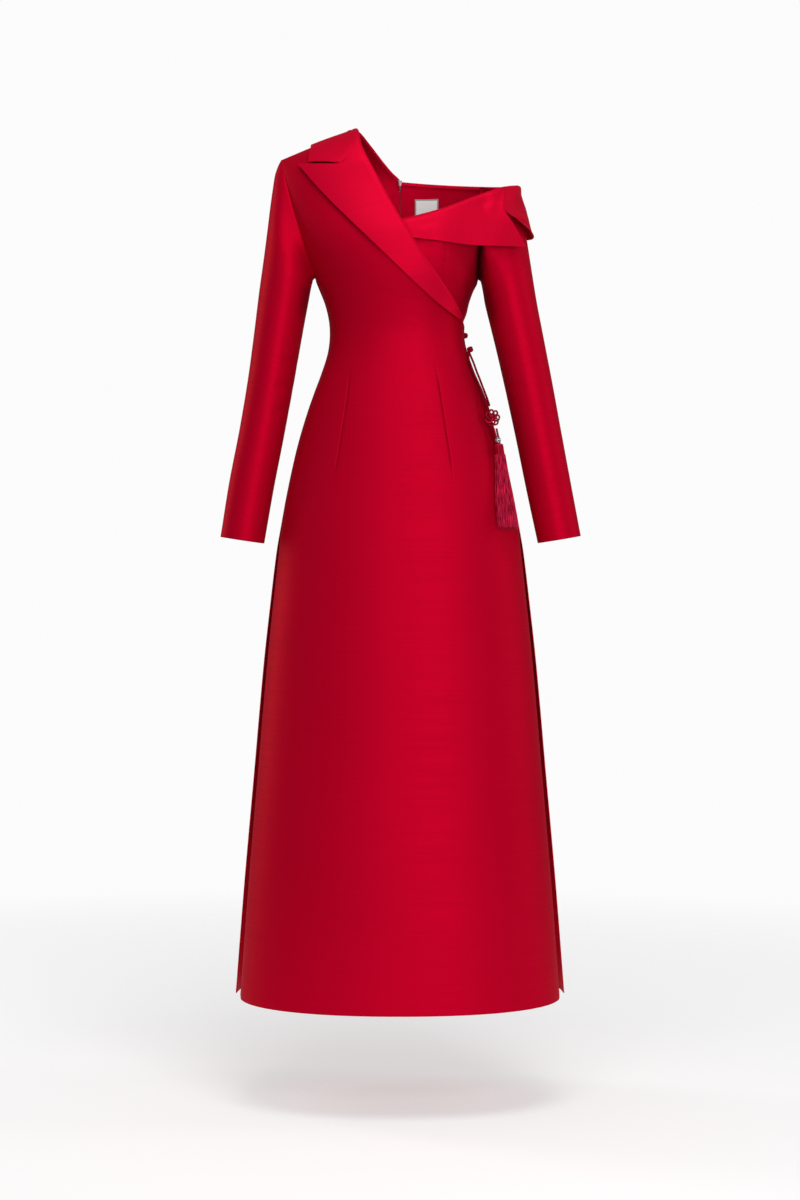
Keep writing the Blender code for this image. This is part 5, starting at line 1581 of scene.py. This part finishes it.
for name, facing, turn, height in BUTTONS:
    out = out_of_body(facing, turn, height)
    across = UP.cross(out).normalized()
    middle = beside_body(turn, height, BALL_LIFT, facing)
    parts = [tube(ball_path(middle, out), BALL_CORD, 10, closed=True, turns_per_metre=0, lobe=0.0)]
    parts.append(tube([middle - out * depth for depth in STALK], STALK_RADIUS, 10, lobe=0.0))
    loop = []
    for k in range(48):
        t = 2 * math.pi * k / 48
        reach = across * math.cos(t) * LOOP_WIDTH + out.cross(across) * math.sin(t)
        loop.append(middle - out * LOOP_DEPTH + reach * LOOP_RADIUS)
    parts.append(tube(loop, LOOP_CORD, 8, closed=True))
    finished(to_object(name + "_ball", *gathered(parts)), KNOT_SATIN, [name])

# %% [markdown]
# The flower knot above the tassel is one cord in seven petals round a small figure of eight. Its
# ring goes round three times before it closes, so the petals overlap as they do in a tied knot.

# %% Flower knot
KNOT_TURN = math.radians(16)  # the knot hangs turned a little to the left
FACING_OUT = Vector((math.sin(KNOT_TURN), -math.cos(KNOT_TURN), 0))
ACROSS = Vector((-FACING_OUT.y, FACING_OUT.x, 0))
KNOT_AT = (63.2, 0.9137, 0.0140)  # turn, height, lift
KNOT_RADIUS, KNOT_WAVE, KNOT_RISE, KNOT_CORD, KNOT_TALL = 0.0066, 0.0047, 0.0022, 0.00160, 1.12
KNOT_TURNS, KNOT_PETALS = 3, 7
HEART_WIDTH, HEART_HEIGHT, HEART_OUT, HEART_RISE = 0.0040, 0.0036, 0.0006, 0.0016
knot_middle = beside_body(*KNOT_AT)
ring = []
for k in range(260):
    angle = 2 * math.pi * KNOT_TURNS * k / 260
    wave = angle * KNOT_PETALS / KNOT_TURNS
    radius = KNOT_RADIUS + KNOT_WAVE * math.cos(wave)
    flat = ACROSS * math.cos(angle) + UP * math.sin(angle) * KNOT_TALL
    ring.append(knot_middle + flat * radius + FACING_OUT * KNOT_RISE * math.sin(wave))
heart = []
for k in range(120):
    t = 2 * math.pi * k / 120
    flat = ACROSS * math.cos(t) * HEART_WIDTH + UP * math.sin(2 * t) * HEART_HEIGHT
    heart.append(knot_middle + flat + FACING_OUT * (HEART_OUT + HEART_RISE * math.cos(3 * t)))
loops = [tube(ring, KNOT_CORD, 12, closed=True), tube(heart, KNOT_CORD, 10, closed=True)]
finished(to_object("flower_knot", *gathered(loops)), KNOT_SATIN, ["tassel_knot"])

# %% [markdown]
# ## Beads, ring and tassel
# A cut-glass bead between two thin metal washers hides where the stem enters the tassel. The
# bead is an icosphere left flat shaded, since its facets are what make it sparkle, and a washer
# is a torus. The tassel's head is silk wound over a core, and the skirt is cut silk: some hundreds
# of threads, each a four-sided strip of a few faces that bends a little its own way.

# %% Tassel lines
HEAD_AT, SKIRT_AT = (64.6, 0.8725, 0.0115), (53.4, 0.7375, 0.0190)  # turn, height, lift
head_top, skirt_foot = beside_body(*HEAD_AT), beside_body(*SKIRT_AT)
stem_up = (knot_middle - head_top).normalized()
tassel_down = (skirt_foot - head_top).normalized()
SPREAD = (ACROSS - ACROSS.dot(tassel_down) * tassel_down).normalized()
THROUGH = SPREAD.cross(tassel_down)
print("the tassel hangs", round((skirt_foot - head_top).length, 4), "metres from its head's top")


def turned_to(axis):
    """Euler angles that turn +Z to an axis."""
    return axis.to_track_quat("Z", "Y").to_euler()


def ready():
    """The object just added, with its place, turn and size made part of its mesh."""
    bpy.ops.object.transform_apply(location=True, rotation=True, scale=True)
    return bpy.context.object


def joined(name, pieces):
    """Several objects as one, under a name."""
    deselect()
    for piece in pieces:
        piece.select_set(True)
    bpy.context.view_layer.objects.active = pieces[0]
    bpy.ops.object.join()
    pieces[0].name = name
    return pieces[0]


# %% [markdown]
# Cut glass throws back more light than it lets through, so the bead is a bright, mostly metallic
# surface under a clear coat. The washers are plain worn silver.

# %% Glass and silver
def glass():
    g = Graph("cut_glass", (0.8, 0.8, 0.82))
    grain = g.noise(g.place(), 420.0, 1.0)
    g.feed("Base Color", g.mixed(g.between(grain, 0.4, 0.6), (0.62, 0.60, 0.62), (0.30, 0.27, 0.29)))
    g.feed("Roughness", g.between(grain, 0.3, 0.7, 0.06, 0.2))
    g.set(Metallic=0.75, Coat_Weight=0.6)
    return g.material


def silver():
    g = Graph("silver", (0.7, 0.7, 0.72))
    wear = g.noise(g.place(), 900.0, 2.0)
    g.feed("Base Color", g.mixed(g.between(wear, 0.35, 0.65), (0.66, 0.65, 0.66), (0.36, 0.34, 0.35)))
    g.feed("Roughness", g.between(wear, 0.3, 0.7, 0.22, 0.38))
    g.set(Metallic=1.0)
    return g.material


def torus(place, axis, radius, wire, segments):
    """A ring of round wire about an axis. `segments` go round the ring and round the wire."""
    deselect()
    bpy.ops.mesh.primitive_torus_add(major_radius=radius, minor_radius=wire, major_segments=segments[0],
                                     minor_segments=segments[1], location=place, rotation=turned_to(axis))
    return ready()


BEAD_RADIUS, BEAD_SHAPE, BEAD_OVER_HEAD = 0.0051, (1.06, 1.06, 0.78), 0.0062
WASHER_RADIUS, WASHER_WIRE, WASHER_FROM_BEAD = 0.0032, 0.0008, 0.0036
GLASS, SILVER = glass(), silver()
bead_middle = placed(head_top + stem_up * BEAD_OVER_HEAD)
deselect()
bpy.ops.mesh.primitive_ico_sphere_add(subdivisions=2, radius=BEAD_RADIUS, location=bead_middle,
                                      rotation=turned_to(stem_up), scale=BEAD_SHAPE)
bead = ready()
bead.name = "glass_bead"
finished(bead, GLASS, ["tassel_bead"], smooth=5)
washers = []
for side in (-1, 1):
    place = bead_middle + stem_up * side * WASHER_FROM_BEAD
    washers.append(torus(place, stem_up, WASHER_RADIUS, WASHER_WIRE, (28, 10)))
finished(joined("bead_washers", washers), SILVER)

# %% [markdown]
# The band is a ring of the tassel's own silk. The head is a wide tube with eleven grooves and a
# narrow top, and two cords side by side make the stem that runs up through the bead.

# %% Ring band, head and stem
BAND_RADIUS, BAND_WIRE, BAND_BELOW_TOP = 0.0052, 0.0016, 0.0028
HEAD_START, HEAD_LENGTH, HEAD_RADIUS, HEAD_PLIES = 0.0004, 0.0205, 0.0072, 11
STEM_START, STEM_LENGTH, STEM_CORD = -0.001, 0.0262, 0.0018
band = torus(placed(head_top + tassel_down * BAND_BELOW_TOP), tassel_down, BAND_RADIUS, BAND_WIRE, (36, 12))
band.name = "ring_band"
finished(band, TASSEL_SILK)
along = [head_top + tassel_down * (HEAD_START + HEAD_LENGTH * s) for s in even(24)]
swell = [0.62 + 0.36 * ease(s * 6) + 0.10 * s for s in even(24)]  # full soon below its narrow top
parts = [tube(along, HEAD_RADIUS, 40, ply=HEAD_PLIES, turns_per_metre=0, lobe=0.17, scale=swell)]
for side in (-1, 1):
    leg = []
    for s in even(20):
        rise = STEM_START + STEM_LENGTH * s
        apart = 0.0016 + 0.0008 * s
        leg.append(head_top + stem_up * rise + SPREAD * side * apart + THROUGH * 0.0003 * side)
    parts.append(tube(leg, STEM_CORD, 10))
finished(to_object("tassel_head", *gathered(parts)), WRAP_SILK, ["tassel"])

# %% [markdown]
# The threads leave the head in a tight oval and open towards the foot. Each takes the next place on
# a sunflower's spiral, which fills an oval evenly however many there are, and a few random numbers
# with a fixed start bend it and cut it a little shorter than its neighbours.

# %% Silk threads
rng = np.random.default_rng(11)
THREADS, THREAD_RADIUS = 260, 0.00062
GOLDEN_ANGLE = 2.39996  # radians from one place on the spiral to the next
HALF_TOP, HALF_FOOT = (0.0078, 0.0066), (0.0160, 0.0056)  # the skirt's oval, half of each size
SKIRT_START = 0.0185  # below the head's top
skirt_length = (skirt_foot - head_top).length - SKIRT_START
silk = []
for number in range(THREADS):
    share = math.sqrt((number + 0.5) / THREADS)
    angle = number * GOLDEN_ANGLE
    a, b = share * math.cos(angle), share * math.sin(angle)
    length = skirt_length * (0.985 + 0.02 * a - 0.035 * rng.random() ** 3)
    bow, phase = rng.normal(0, 0.0006, 2), rng.random() * 6.28
    strand = []
    for s in even(6):
        open_out = ease(min(1, s * 1.15)) ** 0.8
        x = a * mix(HALF_TOP[0], HALF_FOOT[0], open_out) + bow[0] * math.sin(3 * s + phase)
        y = b * mix(HALF_TOP[1], HALF_FOOT[1], open_out) + bow[1] * math.sin(4 * s + phase)
        strand.append(head_top + tassel_down * (SKIRT_START + length * s) + SPREAD * x + THROUGH * y)
    points, faces, uvs = tube(strand, THREAD_RADIUS * rng.uniform(0.75, 1.25), 4, lobe=0.0)
    silk.append((points, faces, [(u + number * 0.0137, v) for u, v in uvs]))  # its own stretch of dye
finished(to_object("tassel_threads", *gathered(silk)), TASSEL_SILK, ["tassel"])

# %% [markdown]
# ## The label
# A woven label is a small folded patch, sewn into the back of the neck by a narrow border. It is a
# grid laid just inside the back panel, where it bends with the cloth. Its weave and the stitched
# border come from its own UV map, and it carries no words.

# %% Woven label
INSIDE = CLOTH + 0.0007  # depth of the first clear place inside a panel
LABEL = (0.0246, 0.0632, 1.2375, 1.2870)  # from x to x, and from height to height
LABEL_DEPTH, LABEL_WALL, LABEL_BORDER = 0.0005, 0.0008, 0.0024


def inside_grid(low_x, high_x, low_height, high_height, columns, rows, depth):
    """Points a depth inside the back panel, over a patch of it."""
    grid = []
    for height in np.linspace(high_height, low_height, rows):
        line = []
        for x in np.linspace(low_x, high_x, columns):
            turn = turn_at(x, height)
            line.append(on_body(BACK, turn, height) - out_of_body(BACK, turn, height) * depth)
        grid.append(line)
    return np.array(grid, float)


def label_cloth(width, length):
    """White weave with a stitched border as wide as LABEL_BORDER."""
    g = Graph("label_weave", (0.8, 0.8, 0.78))
    across, down = (g.node("ShaderNodeSeparateXYZ", {}, {0: g.uv()}, output=axis) for axis in (0, 1))
    edge = across.least(width - across).least(down).least(length - down)
    border = g.between(edge, LABEL_BORDER * 0.8, LABEL_BORDER, 1.0, 0.0)
    threads = (across * 9000.0).sine() * (down * 7000.0).sine()
    stitches = (down * 3600.0 + across * 3600.0).sine()
    grey = g.mixed(g.between(stitches, -1, 1), (0.22, 0.23, 0.25), (0.45, 0.46, 0.48))
    white = g.mixed(g.between(threads, -1, 1), (0.93, 0.93, 0.92), (0.98, 0.98, 0.97))
    g.feed("Base Color", g.mixed(border, white, grey))
    g.bump(threads * 0.4 + border * 1.5, 0.25, 0.0002)
    g.set(Roughness=0.62)
    return g.material


label_size = LABEL[1] - LABEL[0], LABEL[3] - LABEL[2]
label_grid = inside_grid(*LABEL, 25, 31, INSIDE + LABEL_DEPTH)
shell("woven_label", label_grid, (0, -1, 0), LABEL_WALL, ["label"],
      label_cloth(*label_size), offset=0.0)

# %% [markdown]
# ## The zip
# An invisible zip is two narrow tapes with a fine coil between them, and only a dark line and the
# slider show. The tapes are one thin grid behind the back seam. The coil's teeth are small bevelled
# blocks: one is modelled, and its copies step up the back's own curve, a little to either side in
# turn, as the two halves of a coil mesh.

# %% Zip tape
ZIP_WIDTH, ZIP_FOOT, ZIP_TOP = 0.022, 0.800, 1.3000
ZIP_DEPTH, ZIP_WALL = 0.0004, 0.0007
tape_grid = inside_grid(-ZIP_WIDTH / 2, ZIP_WIDTH / 2, ZIP_FOOT, ZIP_TOP, 15, 121, INSIDE + ZIP_DEPTH)
shell("zip_tapes", tape_grid, (0, -1, 0), ZIP_WALL, ["zip"], SATIN,
      offset=0.0)

# %% [markdown]
# One tooth is a cube made flat and bevelled. Its copies, each with a mesh of its own, are joined to
# one coil at the end.

# %% Zip teeth
TOOTH_PITCH = 0.0026
TOOTH = (0.0024, 0.0012, TOOTH_PITCH * 0.55)
TOOTH_BEVEL, TOOTH_DEPTH, TOOTH_ASIDE = 0.0004, 0.0014, 0.0007
TEETH_START = 0.004  # from the tape's foot, and as far past its top
deselect()
bpy.ops.mesh.primitive_cube_add(size=1.0, location=(0, 0, 0))
tooth = bpy.context.object
tooth.scale = TOOTH
bpy.ops.object.transform_apply(scale=True)
bpy.ops.object.mode_set(mode="EDIT")
bpy.ops.mesh.bevel(offset=TOOTH_BEVEL, segments=1, affect="EDGES")
bpy.ops.object.mode_set(mode="OBJECT")
teeth = []
for count, height in enumerate(np.arange(ZIP_FOOT + TEETH_START, ZIP_TOP + TEETH_START, TOOTH_PITCH)):
    copy = tooth.copy()
    copy.data = tooth.data.copy()
    bpy.context.collection.objects.link(copy)
    aside = TOOTH_ASIDE if count % 2 else -TOOTH_ASIDE
    spot = on_body(BACK, 0.0, height) - out_of_body(BACK, 0.0, height) * (INSIDE + TOOTH_DEPTH)
    copy.matrix_world = Matrix.Translation(placed(spot + Vector((aside, 0, 0))))
    teeth.append(copy)
bpy.data.objects.remove(tooth, do_unlink=True)
teeth = joined("zip_teeth", teeth)
bpy.ops.object.transform_apply(location=True, rotation=True, scale=True)


def nylon():
    g = Graph("zip_nylon", (0.16, 0.002, 0.012))
    worn = g.noise(g.place(), 600.0, 2.0)
    g.feed("Base Color", g.mixed(worn, (0.06, 0.0010, 0.004), (0.15, 0.002, 0.009)))
    g.feed("Roughness", g.between(worn, 0.3, 0.7, 0.35, 0.55))
    return g.material


finished(teeth, nylon(), smooth=30)

# %% [markdown]
# ## Slider and pull
# The slider is a small shield of plated metal with a bridge and an eye. It stays at the top of the
# closed zip: its way down follows a curve in cloth, which a rigid tunic can't follow. The pull is a
# stamped tab with a window, and it turns in the eye, so it rides on a body of its own.

# %% Plated metal
def plated():
    g = Graph("zip_plating", (0.55, 0.46, 0.46))
    worn = g.noise(g.place(), 1400.0, 3.0)
    g.feed("Base Color", g.mixed(g.between(worn, 0.35, 0.65), (0.46, 0.33, 0.33), (0.28, 0.18, 0.19)))
    g.feed("Roughness", g.between(worn, 0.3, 0.7, 0.34, 0.50))
    g.set(Metallic=0.55)
    return g.material


PLATED = plated()
SLIDER_BODY = ((-0.0034, 0.0768, 1.3060), (0.0034, 0.0796, 1.3157))
SLIDER_NECK = ((-0.0006, 0.0790, 1.3125), (0.0006, 0.0978, 1.3155))
SLIDER_FOOT = (0.60, 0.85, 1.0)  # the shield's foot against its top, in x, y and z
SLIDER_MIDDLE_Y = 0.0782
PULL_AXIS = (0.0, 0.0992, 1.3140)
EYE_MIDDLE, EYE_WIRE = 0.00148, 0.00042


def block(low, high):
    """A cube between two corners given in the pattern's place."""
    low, high = Vector(low), Vector(high)
    deselect()
    bpy.ops.mesh.primitive_cube_add(size=1.0, location=placed((low + high) / 2), scale=high - low)
    return ready()


def picked(thing, wanted):
    """Edit mode, with only the faces whose centre and normal pass a test selected."""
    chosen(thing)
    bpy.ops.object.mode_set(mode="EDIT")
    bpy.ops.mesh.select_all(action="DESELECT")
    bpy.ops.mesh.select_mode(type="FACE")
    mesh = bmesh.from_edit_mesh(thing.data)
    for face in mesh.faces:
        face.select_set(wanted(face.calc_center_median() + HELD_AT, face.normal))
    bmesh.update_edit_mesh(thing.data)


def bevelled(thing, width, segments=2):
    """The object with its sharp edges rounded."""
    soft = thing.modifiers.new("soft", "BEVEL")
    soft.width, soft.segments = width, segments
    soft.limit_method, soft.angle_limit = "ANGLE", math.radians(40)
    apply_all(thing)
    return thing


shield = block(*SLIDER_BODY)
picked(shield, lambda centre, normal: normal.z < -0.9)
foot = placed((0, SLIDER_MIDDLE_Y, SLIDER_BODY[0][2]))
bpy.ops.transform.resize(value=SLIDER_FOOT, center_override=foot)
bpy.ops.object.mode_set(mode="OBJECT")
bevelled(shield, 0.0006, 3)
neck = bevelled(block(*SLIDER_NECK), 0.0002)
deselect()
bpy.ops.mesh.primitive_torus_add(major_radius=EYE_MIDDLE, minor_radius=EYE_WIRE, major_segments=28,
                                 minor_segments=10, location=placed(PULL_AXIS),
                                 rotation=(0, math.radians(90), 0))
slider = joined("slider", [shield, neck, ready()])
finished(slider, PLATED, ["zip_slider"], smooth=40)

# %% [markdown]
# The pull starts as one thin block. Five bisections mark out its window and its tapered foot, the
# two window faces are bridged into a hole, and the foot is drawn together. All heights count from
# the axis that the pull turns on.

# %% Pull tab
PULL_HALF_WIDTH, PULL_HALF_SLOT, PULL_THICKNESS, PULL_TIP = 0.0025, 0.0015, 0.0008, 0.6
PULL_BAR, PULL_SLOT_FOOT, PULL_SHOULDER, PULL_FOOT = 0.00045, -0.0032, -0.0150, -0.0180
axis_at = Vector(PULL_AXIS)
half = Vector((PULL_HALF_WIDTH, PULL_THICKNESS / 2, 0))
pull = block(axis_at - half + Vector((0, 0, PULL_FOOT)), axis_at + half + Vector((0, 0, PULL_BAR)))
chosen(pull)
bpy.ops.object.mode_set(mode="EDIT")
cuts = [((0, 0, 1), axis_at + Vector((0, 0, z))) for z in (-PULL_BAR, PULL_SLOT_FOOT, PULL_SHOULDER)]
cuts += [((1, 0, 0), axis_at + Vector((x, 0, 0))) for x in (-PULL_HALF_SLOT, PULL_HALF_SLOT)]
for normal, place in cuts:
    bpy.ops.mesh.select_all(action="SELECT")
    bpy.ops.mesh.bisect(plane_co=placed(place), plane_no=normal)
picked(pull, lambda centre, normal: abs(normal.y) > 0.9 and abs(centre.x) < PULL_HALF_SLOT
       and PULL_SLOT_FOOT < centre.z - PULL_AXIS[2] < -PULL_BAR)
bpy.ops.mesh.bridge_edge_loops()
picked(pull, lambda centre, normal: normal.z < -0.9 and centre.z - PULL_AXIS[2] < PULL_FOOT + 0.0001)
foot = placed(axis_at + Vector((0, 0, PULL_FOOT)))
bpy.ops.transform.resize(value=(PULL_TIP, 1.0, 1.0), center_override=foot)
bpy.ops.object.mode_set(mode="OBJECT")
bevelled(pull, 0.00012)
pull.name = "pull_tab"
finished(pull, PLATED, ["zip_pull"], body=PULL, smooth=40)

# %% [markdown]
# ## The floor
# A wide pale disc catches the soft shadow under the tunic. Its colour is nearly that of the air,
# and it fades out with distance, so no horizon is drawn.

# %% Stage
FLOOR_RADIUS, FADE_START, FADE_END = 4.5, 0.35, 2.6


def pale_floor():
    """A pale floor that fades into the white air around it."""
    deselect()
    bpy.ops.mesh.primitive_circle_add(vertices=96, radius=FLOOR_RADIUS, fill_type="NGON",
                                      location=(-HELD_AT.x, 0, FLOOR))
    floor = bpy.context.object
    floor.name = "studio_floor"
    bpy.ops.object.transform_apply(location=True)
    g = Graph("studio_white", (0.9, 0.9, 0.9))
    g.set(Base_Color=(0.86, 0.86, 0.86, 1), Roughness=0.9)
    g.set(Emission_Color=(1, 1, 1, 1), Emission_Strength=0.40)
    level = g.scaled(g.place(), (1, 1, 0))
    far = g.node("ShaderNodeVectorMath", {"operation": "LENGTH"}, {0: level}, output=1)
    g.feed("Alpha", g.between(far, FADE_START, FADE_END, 1.0, 0.0))
    floor.data.materials.append(g.material)


pale_floor()
